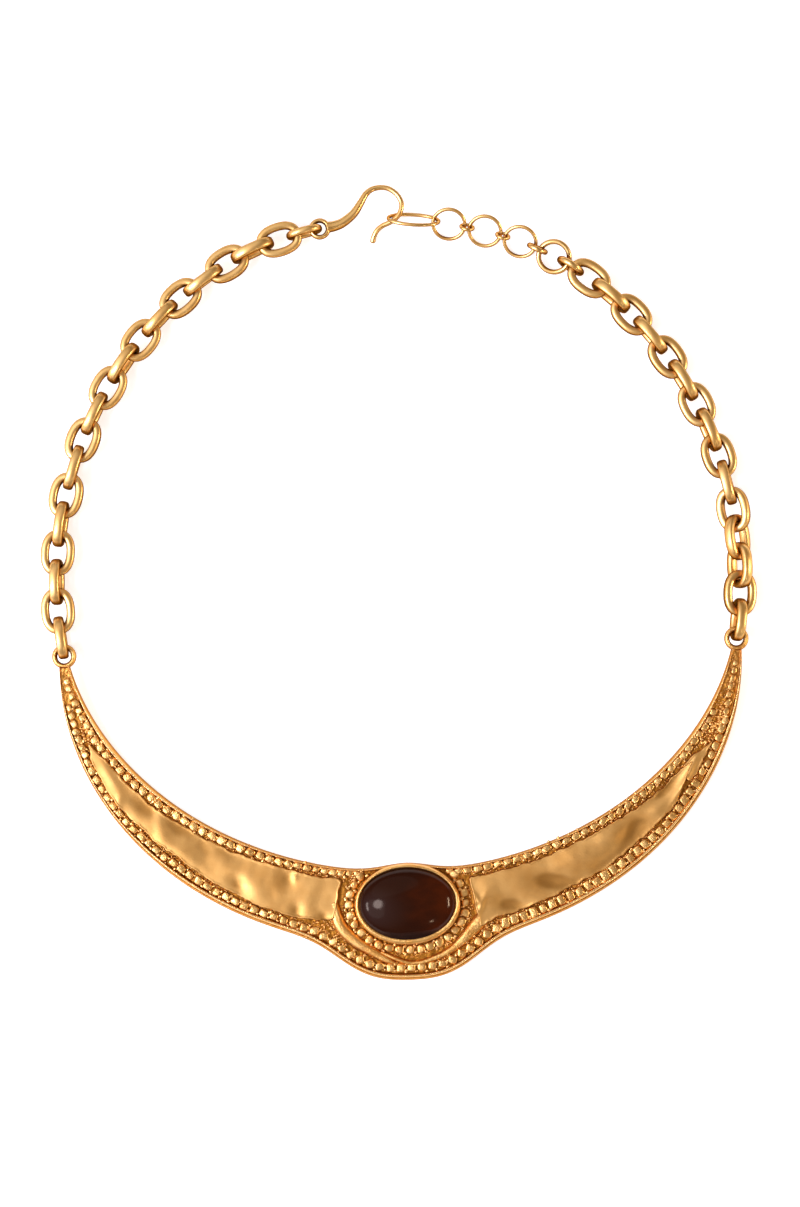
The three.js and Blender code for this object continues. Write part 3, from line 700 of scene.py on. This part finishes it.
# Runs of granules along a channel. Angles are in degrees; pitches, lengths and widths in millimetres.
RUNS = [
    # row, squareness, uneven, (angle, pitch, long, wide) at places
    ("inner", 3.2, 0.09, [
        (-74.4, 1.40, 1.85, 1.75), (-69, 1.48, 1.70, 1.60), (-64, 1.55, 1.50, 1.46), (-62, 1.84, 1.72, 1.56),
        (-30, 1.86, 1.74, 1.52), (-12, 1.48, 1.40, 1.36), (-8.8, 1.38, 1.28, 1.26),
    ]),
    ("inner", 3.4, 0.09, [
        (8.4, 1.60, 1.46, 1.20), (12, 1.76, 1.66, 1.36), (28, 1.93, 1.82, 1.42), (40, 1.76, 1.62, 1.44),
        (66.6, 1.50, 1.46, 1.44),
    ]),
    ("outer", 3.4, 0.09, [
        (-70.2, 1.46, 1.66, 1.40), (-62, 1.46, 1.46, 1.34), (-60, 1.84, 1.66, 1.44), (-8, 1.90, 1.70, 1.56),
        (12.6, 1.92, 1.74, 1.60),
    ]),
    ("outer", 4.4, 0.13, [(14.2, 1.82, 1.58, 1.96), (54.6, 1.78, 1.54, 1.90)]),
    ("outer", 2.8, 0.14, [(56.2, 1.74, 1.60, 1.50), (66, 1.60, 1.66, 1.60), (75, 1.30, 1.85, 1.70)]),
]
GRANULE_HEIGHT = 0.66
# Profile of a granule: share of its half width, share of its height, and its painted shade there, where below
# 0 is a painted highlight.
GRANULE_PROFILE = [
    (1.02, -0.5, 1.0), (1.0, 0.25, 0.9), (0.98, 0.55, 0.45), (0.92, 0.78, 0.08), (0.8, 0.92, -0.1),
    (0.5, 0.99, -0.2),
]
# The crown's height and its painted highlight.
GRANULE_CROWN = (1.0, -0.25)
GRANULE_SIDES = 16
GRANULE_TILT = 0.1
# Unevenness of a granule: number of lumps round it, and how much they swell.
GRANULE_LUMPS = [(2, 0.07), (3, 0.05)]
ROW_STEP = 0.002
# The granules round the bezel, as far as an angle from the lowest one on each side.
BEZEL_ROW = Sizes(out=1.1, size=1.62, pitch=1.84, squareness=2.5, last=radians(128))


def bead(place, heading, profile, crown, sizes, outline, tilt):
    """A bead from a profile and a crown. sizes are its half length, half width and height, and outline is
    the run of its widest ring."""
    points, hollow = [], []
    # depth is painted shade, and below 0 a painted highlight.
    for reach, rise, depth in profile:
        u, v = outline[0] * reach * sizes[0], outline[1] * reach * sizes[1]
        z = sizes[2] * rise + (tilt[0] * u + tilt[1] * v) * max(rise, 0)
        points.append(np.stack([u, v, z], -1))
        hollow.append(np.full(len(u), depth))
    points = np.concatenate([*points, [[0, 0, sizes[2] * crown[0]]]])
    hollow = np.concatenate([*hollow, [crown[1]]])
    return headed(points, heading) + np.asarray(place), bead_faces(len(profile), len(outline[0])), hollow


def granule(place, heading, long, wide, height, squareness, dice):
    """One cast granule: a pillow with rounded sides and a slightly uneven crown."""
    turn = full_turn(GRANULE_SIDES)
    lumpy = 1 + sum(much * np.sin(count * turn + dice.uniform(0, 6)) for count, much in GRANULE_LUMPS)
    outline = [lumpy * squared(wave, 2 / squareness) for wave in (np.cos(turn), np.sin(turn))]
    tilt = [dice.uniform(-GRANULE_TILT, GRANULE_TILT) for _ in range(2)]
    sizes = (long / 2, wide / 2, height)
    return bead(place, heading, GRANULE_PROFILE, GRANULE_CROWN, sizes, outline, tilt)


def row_place(row, angle):
    """Radius, heading and floor of a row of granules at an angle, and how crowded the plate is there."""
    at = station(np.array([angle, angle + ROW_STEP]))
    radius = at["inner"] + at["inner_row"] if row == "inner" else at["outer"] - at["outer_row"]
    slope = (radius[1] - radius[0]) / ROW_STEP
    return radius[0], slope, at["floor"][0], at["crowd"][0]


def satellites(place, heading, long, wide, dice):
    """Two to four little beads in the corners round a granule."""
    copies = []
    for along, across in dice.sample([(1, 1), (1, -1), (-1, 1), (-1, -1)], dice.choice((2, 2, 3, 4))):
        u = along * (long / 2 + dice.uniform(0.0, 0.16))
        v = across * (wide / 2 - dice.uniform(0.0, 0.3))
        spot = place + headed(np.array([u, v, 0]), heading)
        size = dice.uniform(0.32, 0.66)
        turned = dice.uniform(0, 3)
        height = GRANULE_HEIGHT * dice.uniform(0.6, 0.95)
        copies.append(granule(spot, turned, size * 1.2, size, height, 2.2, dice))
    return copies


def rows_of_granules():
    dice = random.Random(11)
    copies = []
    for row, squareness, uneven, places in RUNS:
        stations, *columns = zip(*places)
        angle = stations[0]
        while angle <= stations[-1]:
            pitch, long, wide = (np.interp(angle, stations, column) for column in columns)
            radius, slope, floor, crowd = row_place(row, radians(angle))
            size = math.sqrt(crowd) * dice.uniform(1 - uneven, 1 + uneven * 0.5)
            heading = radians(angle) + math.atan2(slope, radius) + dice.uniform(-uneven, uneven)
            place = polar(radians(angle), radius + dice.uniform(-uneven, uneven) * crowd, floor)
            across = wide * size * dice.uniform(1 - uneven, 1 + uneven * 0.4)
            height = GRANULE_HEIGHT * dice.uniform(0.85, 1.12) * size
            copies.append(granule(place, heading, long * size, across, height, squareness, dice))
            if crowd > dice.uniform(0.5, 0.9):
                copies.extend(satellites(place, heading, long * size, across, dice))
            angle += math.degrees(pitch * dice.uniform(0.97, 1.03) / math.hypot(radius, slope))
    return copies


def oval(half_wide, half_high, turn, z, aside=0, up=0):
    """Points on an oval round the stone's middle, from its lowest place."""
    x = STONE_CENTRE[0] + aside + half_wide * np.sin(turn)
    y = STONE_CENTRE[1] + up - half_high * np.cos(turn)
    return np.stack(np.broadcast_arrays(x, y, z), -1)


def stone_oval(out, turn, z):
    """Points on an oval out from the bezel's outer edge. Inside it the lip lies higher and closes faster."""
    inside = max(0, -out)
    half_wide = BEZEL.half_wide + out - inside * (BEZEL.inward_wide - 1)
    half_high = BEZEL.half_high + out - inside * (BEZEL.inward_high - 1)
    return oval(half_wide, half_high, turn, z, up=BEZEL.lift * min(1, inside / BEZEL.lip))


def bezel_granules():
    dice = random.Random(5)
    copies = []
    wide, high = BEZEL.half_wide + BEZEL_ROW.out, BEZEL.half_high + BEZEL_ROW.out
    turn = -BEZEL_ROW.last
    while turn <= BEZEL_ROW.last:
        heading = math.atan2(high * math.sin(turn), wide * math.cos(turn))
        size = BEZEL_ROW.size * dice.uniform(0.88, 1.05)
        place = stone_oval(BEZEL_ROW.out + dice.uniform(-0.1, 0.12), turn, LOBE_FLOOR)
        height = GRANULE_HEIGHT * dice.uniform(0.85, 1.1)
        copies.append(granule(place, heading, size, size, height, BEZEL_ROW.squareness, dice))
        copies.extend(satellites(place, heading, size, size, dice))
        around = math.hypot(wide * math.cos(turn), high * math.sin(turn))
        turn += BEZEL_ROW.pitch * dice.uniform(0.94, 1.06) / around
    return copies


# Where small grains lie: between two angles in degrees, and nearest and furthest past the panel's edge in
# millimetres, where less than nothing is towards the rim.
GRIT = [
    # row, from, to, near, far, count, smallest, largest
    ("inner", -60, -8, -0.35, 0.10, 170, 0.10, 0.24),
    ("outer", -58, -8, -0.45, 0.00, 130, 0.10, 0.22),
    ("inner", -62, -8, -1.60, -0.20, 110, 0.08, 0.17),
    ("outer", -62, 12, -1.80, -0.20, 130, 0.08, 0.17),
    ("inner", 9, 60, -0.40, 0.05, 170, 0.10, 0.22),
    ("inner", 9, 62, -1.60, -0.20, 100, 0.08, 0.17),
    ("outer", 12, 58, -0.75, 0.00, 260, 0.10, 0.26),
    ("outer", 12, 62, -1.60, -0.20, 120, 0.08, 0.17),
    ("inner", 60, 76, -1.20, 0.60, 40, 0.12, 0.24),
    ("inner", -76, -61, -1.20, 0.60, 20, 0.12, 0.20),
    ("outer", -13, 13, -1.80, -0.80, 120, 0.10, 0.26),
    ("outer", -17, -10, -3.20, -0.20, 90, 0.14, 0.34),
    ("inner", -67, -61.5, -0.30, 1.30, 30, 0.16, 0.42),
    ("outer", 60.5, 67, -0.40, 1.20, 60, 0.16, 0.42),
    ("inner", 60.0, 67, -0.30, 0.90, 40, 0.16, 0.40),
]
# The grains round the bezel, as far as an angle in degrees, some close to it and some further out.
BEZEL_GRIT = Sizes(count=260, last=125, inner=(0.4, 2.4), outer=(1.7, 2.4), smallest=0.1, largest=0.24)
GRAIN_SIDES = 7
# A grain's profile and crown, as for a granule: the last number of each is its painted shade.
GRAIN_PROFILE = [(1.1, -0.8, 1.0), (1.0, 0.0, 0.85), (0.8, 0.6, 0.45)]
GRAIN_CROWN = (1.05, 0.15)


def grain(place, radius, dice):
    """A small cast grain, half sunk in the floor."""
    turn = full_turn(GRAIN_SIDES) + dice.uniform(0, 1)
    sizes = (radius * dice.uniform(0.8, 1.5), radius * dice.uniform(0.7, 1.1), radius)
    heading = dice.uniform(0, math.pi)
    return bead(place, heading, GRAIN_PROFILE, GRAIN_CROWN, sizes, (np.cos(turn), np.sin(turn)), (0, 0))


def channel_grit():
    dice = random.Random(23)
    copies = []
    for row, start, stop, near, far, count, smallest, largest in GRIT:
        for _ in range(count):
            angle = radians(dice.uniform(start, stop))
            at = station(np.array([angle]))
            inward = at[row + "_panel"][0] + dice.uniform(near, far) * at["crowd"][0]
            radius = at["inner"][0] + inward if row == "inner" else at["outer"][0] - inward
            size = dice.uniform(smallest, largest)
            copies.append(grain(polar(angle, radius, at["floor"][0] + dice.uniform(0, 0.12)), size, dice))
    for _ in range(BEZEL_GRIT.count):
        turn = radians(dice.uniform(-BEZEL_GRIT.last, BEZEL_GRIT.last))
        out = dice.choice((dice.uniform(*BEZEL_GRIT.outer), dice.uniform(*BEZEL_GRIT.inner)))
        size = dice.uniform(BEZEL_GRIT.smallest, BEZEL_GRIT.largest)
        copies.append(grain(stone_oval(out, turn, LOBE_FLOOR), size, dice))
    return copies


# ---------------- bezel, rib and stone

# The bezel's section: distance out from its outer edge and height.
BEZEL_SECTION = [
    (0.2, 0.95), (0.16, 1.8), (0.1, 2.7), (0.05, 3.4), (0.0, 3.75), (-0.07, 3.96), (-0.17, 4.1),
    (-0.29, 4.16), (-0.41, 4.14), (-0.52, 4.06), (-0.6, 3.94), (-0.64, 3.8), (-0.64, 3.6), (-0.6, 3.4),
    (-0.5, 3.2), (-0.5, 0.95),
]
# The two smooth ribs under the stone: places from its middle, and their width and height there.
LEFT_RIB = [
    # right, up, width, height
    (-13.2, 0.6, 1.8, 0.90), (-12.4, -3.0, 2.6, 0.92), (-11.0, -5.0, 2.7, 0.84), (-9.3, -6.6, 2.5, 0.78),
    (-7.6, -7.7, 2.3, 0.74), (-5.8, -8.8, 2.0, 0.72), (-4.2, -9.8, 1.6, 0.66), (-2.4, -10.6, 0.6, 0.5),
]
RIGHT_RIB = [
    (-5.0, -8.5, 0.5, 0.6), (-3.7, -9.1, 1.0, 0.74), (-2.3, -9.75, 1.1, 0.76), (-0.7, -10.35, 1.1, 0.76),
    (0.85, -10.6, 1.1, 0.76), (2.6, -10.4, 1.15, 0.76), (4.5, -9.8, 1.25, 0.76), (6.5, -9.0, 1.5, 0.8),
    (8.4, -7.8, 1.9, 0.84), (10.0, -6.4, 2.4, 0.87), (11.4, -5.0, 2.8, 0.86), (12.8, -3.5, 3.0, 0.78),
    (14.2, -1.8, 2.6, 0.6),
]
# dusk and clean set the painted shade on a rib's sides.
RIB = Sizes(steps=120, sides=15, squareness=3.4, sunk=0.25, wave=0.1, wave_size=2.2, dusk=3, clean=2.2)
BEZEL_STEPS = 200
# The collar is uneven from one height up, and fully from the other.
BEZEL_WAVES = [(0.05, 4.0, 9)]
BEZEL_UNEVEN = Sizes(low=2.0, high=3.8)
# Painted shade on the collar below a height and on the lip inside a distance out: how dark it is, and where.
COLLAR_DUSK = Sizes(dark=0.9, below=2.2)
LIP_DUSK = Sizes(dark=0.5, out=-0.62)


def bezel_collar():
    turn = full_turn(BEZEL_STEPS)
    rows, hollow = [], []
    for out, z in BEZEL_SECTION:
        # Painted shade inside the lip and low on the collar.
        lip_dusk = LIP_DUSK.dark if out < LIP_DUSK.out else 0.0
        rows.append(stone_oval(out, turn, z))
        hollow.append(np.full(BEZEL_STEPS, COLLAR_DUSK.dark if z < COLLAR_DUSK.below else lip_dusk))
    points = np.stack(rows, 1)
    uneven = smooth_step(points[..., 2], BEZEL_UNEVEN.low, BEZEL_UNEVEN.high)
    points[..., 2] += waves(points, BEZEL_WAVES) * uneven
    return (*sweep(points, close_rows=True), np.stack(hollow, 1).ravel())


def rib(table, seed):
    """A smooth low ridge along the places of a table."""
    right, up, width, height = smooth_run(table, RIB.steps).T[..., None]
    heading = np.arctan2(np.gradient(up[:, 0]), np.gradient(right[:, 0]))[:, None]
    aside = np.linspace(-1, 1, RIB.sides)[None, :]
    out = aside * width / 2
    points = np.stack([
        STONE_CENTRE[0] + right + out * np.sin(heading),
        STONE_CENTRE[1] + up - out * np.cos(heading),
        LOBE_FLOOR - RIB.sunk + (height + RIB.sunk) * (1 - np.abs(aside) ** RIB.squareness),
    ], -1)
    points[..., 2] += RIB.wave * ripple(points, RIB.wave_size, seed) * (1 - np.abs(aside))
    # Painted shade down the rib's sides.
    hollow = np.clip(np.abs(aside) * RIB.dusk - RIB.clean, 0, 1) + 0 * out
    return (*sweep(points), hollow.ravel())


def cabochon():
    """The stone: a foot, an upright girdle and a dome."""
    foot, levels = STONE.foot, STONE_DOME.levels
    profile = [(STONE_FOOT.share, foot), (1, foot + STONE_FOOT.height), (1, STONE.girdle)]
    for level in range(1, levels):
        lean = math.pi / 2 * level / levels
        climb = math.sin(lean) ** (2 / STONE_DOME.top_power)
        reach = math.cos(lean) ** (2 / STONE_DOME.side_power)
        profile.append((reach, mix(STONE.girdle, STONE.top, climb)))
    turn = full_turn(STONE_DOME.steps)[None, :]
    scale, z = np.array(profile).T[..., None]
    wide, high = STONE.half_wide * scale, STONE.half_high * scale
    return sweep(oval(wide, high, turn, z, STONE.aside, STONE.up))


# ---------------- links and rings

LINK_STEPS = 56
WIRE_SIDES = 16
WIRES = {
    # width in the link's plane, depth through it, squareness of the oval and of the wire itself
    "left_link": (1.52, 1.85, 2.35, 2.9),
    "right_link": (1.52, 1.85, 2.35, 2.9),
    "hook_link": (1.3, 1.35, 2.3, 2.2),
    "chain_end_jump_ring": (1.35, 1.3, 2, 2),
    "extender_ring_4": (0.95, 0.9, 2, 2),
    "extender_jump_ring_3": (0.96, 0.96, 2, 2),
    "extender_ring": (0.67, 0.64, 2, 2),
    "extender_jump_ring": (0.65, 0.65, 2, 2),
    "end_ring": (0.68, 0.66, 2.1, 2),
}
# A solid counts as a round ring when it is at most this much longer than wide.
NEARLY_ROUND = 1.08
# Painted shade on the inner side of a link's wire, strongest at its ends.
LINK_DUSK = 0.9


def lay_of(node):
    """How a link lies: its middle, its three directions, and its half length and width, in metres."""
    corners = np.unique(np.round([tuple(v.co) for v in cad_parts[node].data.vertices], 7), axis=0)
    middle = corners.mean(0)
    offsets = corners - middle
    axes = np.linalg.eigh(np.cov(offsets.T))[1]
    long, wide = axes[:, 2], axes[:, 1]
    thin = np.cross(long, wide)
    half_long, half_wide = np.abs(offsets @ long).max(), np.abs(offsets @ wide).max()
    if half_long < half_wide * NEARLY_ROUND:
        half_long = half_wide = np.linalg.norm(offsets - np.outer(offsets @ thin, thin), axis=1).max()
    return middle, long, wide, thin, half_long, half_wide


def oval_link(node, kind):
    """A smooth link in the place of a solid one, in millimetres of the solids' own layout."""
    middle, long, wide, thin, half_long, half_wide = lay_of(node)
    wire, depth, squareness, wire_squareness = WIRES[kind]
    half_wire = wire * MM / 2
    reach_long, reach_wide = half_long - half_wire, half_wide - half_wire
    turn = full_turn(LINK_STEPS)
    u = reach_long * squared(np.cos(turn), 2 / squareness)
    v = reach_wide * squared(np.sin(turn), 2 / squareness)
    centre = middle + np.outer(u, long) + np.outer(v, wide)
    outward = np.outer(np.cos(turn) / reach_long, long) + np.outer(np.sin(turn) / reach_wide, wide)
    outward /= np.linalg.norm(outward, axis=1)[:, None]
    round_wire = full_turn(WIRE_SIDES)
    out = half_wire * squared(np.cos(round_wire), 2 / wire_squareness)
    up = depth * MM / 2 * squared(np.sin(round_wire), 2 / wire_squareness)
    rings = centre[:, None] + out[None, :, None] * outward[:, None] + up[None, :, None] * thin[None, None]
    # Painted shade on the wire's inner side.
    inside = np.clip(-np.cos(round_wire), 0, 1)[None, :] * np.abs(np.cos(turn))[:, None] ** 2
    points, faces = sweep((rings - SHIFT) / MM, close_rows=True)
    return points, faces, inside.ravel() * LINK_DUSK


# ---------------- the hook

HOOK_EYE = Sizes(x=-12.55, y=63.95, z=2.85, outer=1.95, hole=1.08, thickness=1.3)
HOOK_WIRE = [
    # x, y, z, radius
    (-11.2, 64.2, 2.85, 0.94), (-9.9, 64.4, 2.85, 0.87), (-8.35, 65.0, 2.85, 0.81), (-6.35, 66.6, 2.8, 0.74),
    (-5.0, 68.55, 2.8, 0.64), (-4.0, 70.15, 2.75, 0.56), (-2.8, 71.0, 2.75, 0.5), (-1.3, 71.25, 2.7, 0.47),
    (0.2, 70.95, 2.7, 0.46), (1.6, 69.9, 2.7, 0.46), (2.35, 68.4, 2.65, 0.46), (2.2, 66.95, 2.55, 0.46),
    (1.5, 65.85, 2.35, 0.46), (0.2, 65.0, 1.95, 0.46), (-1.2, 64.45, 1.6, 0.46), (-2.25, 63.6, 1.35, 0.46),
    (-2.85, 62.5, 0.95, 0.48), (-3.0, 61.85, 0.7, 0.5),
]
HOOK_STEPS = 170
HOOK_SIDES = 24
# The flat stem has a ridge along it, which rolls over and fades where the wire narrows.
HOOK_RIDGE = Sizes(power=0.75, lean=-20, thick=0.85, thin=0.5)
# The rounded tip: how far past the last place and how thick, as shares of the wire's radius.
HOOK_TIP = [(0.25, 0.95), (0.5, 0.78), (0.7, 0.5), (0.8, 0.2)]


def hook_wire():
    run = smooth_run(HOOK_WIRE, HOOK_STEPS)
    centre, radius = run[:, :3], run[:, 3]
    forward = np.gradient(centre, axis=0)
    forward /= np.linalg.norm(forward, axis=1)[:, None]
    advance, scale = np.array(HOOK_TIP).T
    centre = np.vstack([centre, centre[-1] + np.outer(advance * radius[-1], forward[-1])])
    radius = np.r_[radius, radius[-1] * scale]
    forward = np.vstack([forward, np.repeat(forward[-1:], len(HOOK_TIP), 0)])
    aside = np.cross([0, 0, 1], forward)
    aside /= np.linalg.norm(aside, axis=1)[:, None]
    over = np.cross(forward, aside)
    turn = full_turn(HOOK_SIDES)[None, :]
    ridged = smooth_step(radius, HOOK_RIDGE.thin, HOOK_RIDGE.thick)[:, None]
    power = mix(1, HOOK_RIDGE.power, ridged)
    flat, high = squared(np.cos(turn), power), squared(np.sin(turn), power)
    cos, sin = math.cos(radians(HOOK_RIDGE.lean)), math.sin(radians(HOOK_RIDGE.lean))
    across, up = flat * cos - high * sin, flat * sin + high * cos
    offset = across[..., None] * aside[:, None] + up[..., None] * over[:, None]
    rings = centre[:, None] + radius[:, None, None] * offset
    return (*sweep(rings), np.zeros(rings.shape[:2]).ravel())


# ---------------- assembly

# The panels: angles of their end and tip in degrees, the tip's share of the way across the plate, how far
# from the tip each edge starts to run in, and how far a panel is sunk.
PANELS = [
    # name, side, end, tip, tip share, inner run, outer run, drop, seed
    ("left_panel", -1, 12.2, 63.6, 0.52, 4.5, 3.0, 0, 31),
    ("right_panel", 1, 11.6, 56.7, 0.41, 2.0, 9.0, 0, 47),
    ("right_leaf", 1, 53.6, 61.4, 0.60, 4.0, 5.0, 0.25, 53),
]


def dress_plate():
    parts = [("plate_body", [plate_body()], CAST_GOLD, FLANK)]
    for name, side, end, tip, *shape in PANELS:
        copies = [panel(side, radians(end), radians(tip), *shape)]
        parts.append((name, copies, PANEL_GOLD, FLANK))
    parts += [
        ("granules", rows_of_granules() + bezel_granules(), CAST_GOLD, FLANK),
        ("channel_grit", channel_grit(), CAST_GOLD, FLANK),
        ("horn_rings", [flat_ring(HORN_RING, -1), flat_ring(HORN_RING)], CAST_GOLD, WIRE_FLANK),
        ("bezel", [bezel_collar()], CAST_GOLD, BEZEL_FLANK),
        ("ribs_under_stone", [rib(LEFT_RIB, 12), rib(RIGHT_RIB, 14)], CAST_GOLD, FLANK),
    ]
    for name, copies, finish, flank in parts:
        points, faces, hollow = join_copies(copies)
        add_piece(name, points, faces, finish, "satin_gold", ["crescent_plate"], hollow, flank)


def dress_chain():
    for node in sorted(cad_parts):
        if node in ("crescent_plate", "cabochon_stone", "hook"):
            continue
        points, faces, hollow = oval_link(node, node if node in WIRES else node.rsplit("_", 1)[0])
        look = (CHAIN_GOLD, "satin_gold") if "link" in node else (WIRE_GOLD, "bright_gold")
        add_piece("smooth_" + node, points, faces, *look, [node], hollow, WIRE_FLANK)


dress_plate()
add_piece("polished_stone", *cabochon(), BROWN_STONE, "brown_stone", ["cabochon_stone"])
dress_chain()
points, faces, hollow = join_copies([hook_wire(), flat_ring(HOOK_EYE)])
add_piece("smooth_hook", points, faces, WIRE_GOLD, "bright_gold", ["hook"], hollow, WIRE_FLANK)

# ---------------- table, light and camera

WARM_LIGHT = (1.0, 0.83, 0.61, 1)
COOL_LIGHT = (0.92, 1.03, 1.42, 1)
# The sky's light fades between these heights, down to this share of itself.
SKY_FADE = Sizes(low=-0.1, high=0.45, least=0.3)
TABLE = Sizes(half=6.0, below=0.00002)


def table():
    mesh = bpy.data.meshes.new("table")
    corners = [(x * TABLE.half, y * TABLE.half, 0) for x, y in ((-1, -1), (1, -1), (1, 1), (-1, 1))]
    mesh.from_pydata(corners, [], [(0, 1, 2, 3)])
    mesh.materials.append(table_finish())
    top = put("table", mesh)
    top.location.z = -TABLE.below


def softbox(name, place, width, height, power, colour):
    """An oval lamp that faces the stone."""
    light = bpy.data.lights.new(name, "AREA")
    light.shape = "ELLIPSE"
    light.size, light.size_y = width, height
    light.energy = power
    light.color = colour
    lamp = put(name, light)
    lamp.location = place + Vector((STONE_CENTRE[0], STONE_CENTRE[1], 0)) * MM
    lamp.rotation_euler = (-place).to_track_quat("-Z", "Y").to_euler()


def leaning(lean, forward):
    """A turn from straight above towards the right, then forward, in degrees."""
    return Matrix.Rotation(radians(forward), 3, "X") @ Matrix.Rotation(radians(lean), 3, "Y")


def sky(dim, bright, lean, forward, spread):
    """The studio's soft light: a dim warm surround and a cool glow round one direction, both fading near the
    ground."""
    world = bpy.data.worlds.new("studio")
    world.use_nodes = True
    nodes = Nodes(world.node_tree)
    direction = nodes.node("ShaderNodeTexCoord", {}, {}, "Generated")
    facing = nodes.node("ShaderNodeVectorMath", dict(operation="DOT_PRODUCT"), {
        0: direction, 1: leaning(lean, forward) @ Vector((0, 0, 1)),
    }, "Value")
    glow = nodes.between(facing, math.cos(radians(spread)), 1)
    above = nodes.between(nodes.along(direction, "Z"), SKY_FADE.low, SKY_FADE.high)
    fade = above * (1 - SKY_FADE.least) + SKY_FADE.least
    background = world.node_tree.nodes["Background"]
    nodes.feed(background.inputs["Color"], nodes.blend(glow, WARM_LIGHT, COOL_LIGHT))
    nodes.feed(background.inputs["Strength"], (glow * (bright - dim) + dim) * fade)
    bpy.context.scene.world = world


CAMERA_AIM = Vector((0.00019, -0.00416, 0.002))
CAMERA_DISTANCE = 0.513
CAMERA_TILT = radians(3)
CAMERA_TURN = radians(-1.54)


def camera():
    lens = bpy.data.cameras.new("camera")
    lens.lens = 85
    lens.sensor_fit = "VERTICAL"
    lens.sensor_height = 36
    lens.clip_start = 0.01
    eye = put("camera", lens)
    turned = Matrix.Rotation(CAMERA_TURN, 4, "Z") @ Matrix.Rotation(CAMERA_TILT, 4, "X")
    eye.matrix_world = Matrix.Translation(CAMERA_AIM) @ turned @ Matrix.Translation((0, 0, CAMERA_DISTANCE))
    bpy.context.scene.camera = eye


bpy.context.scene.view_settings.view_transform = "Standard"
table()
# The lamps stand round the stone. Angles are in degrees, sizes in metres and powers in watts.
LAMPS = [
    # name, lean, forward, distance, width, height, power, colour
    ("left key", -35, 0, 0.45, 0.14, 0.13, 0.8, (0.94, 1.0, 1.22)),
    ("left low", -60, 10, 0.45, 0.16, 0.04, 0.40, (0.94, 1.0, 1.22)),
    ("left soft", -44, 14, 0.32, 0.24, 0.22, 0.15, (0.94, 1.0, 1.22)),
    ("back soft", -18, -44, 0.40, 0.48, 0.40, 0.21, (0.97, 1.0, 1.12)),
    ("right low", 66, 0, 0.8, 0.32, 0.05, 2.3, (1.0, 0.90, 0.76)),
    ("front spark", 27, 46, 0.8, 0.035, 0.03, 0.3, (1.0, 0.92, 0.8)),
]
for name, lean, forward, distance, width, height, power, colour in LAMPS:
    softbox(name, leaning(lean, forward) @ Vector((0, 0, distance)), width, height, power, colour)
sky(dim=0.27, bright=1.25, lean=-48, forward=16, spread=58)
camera()
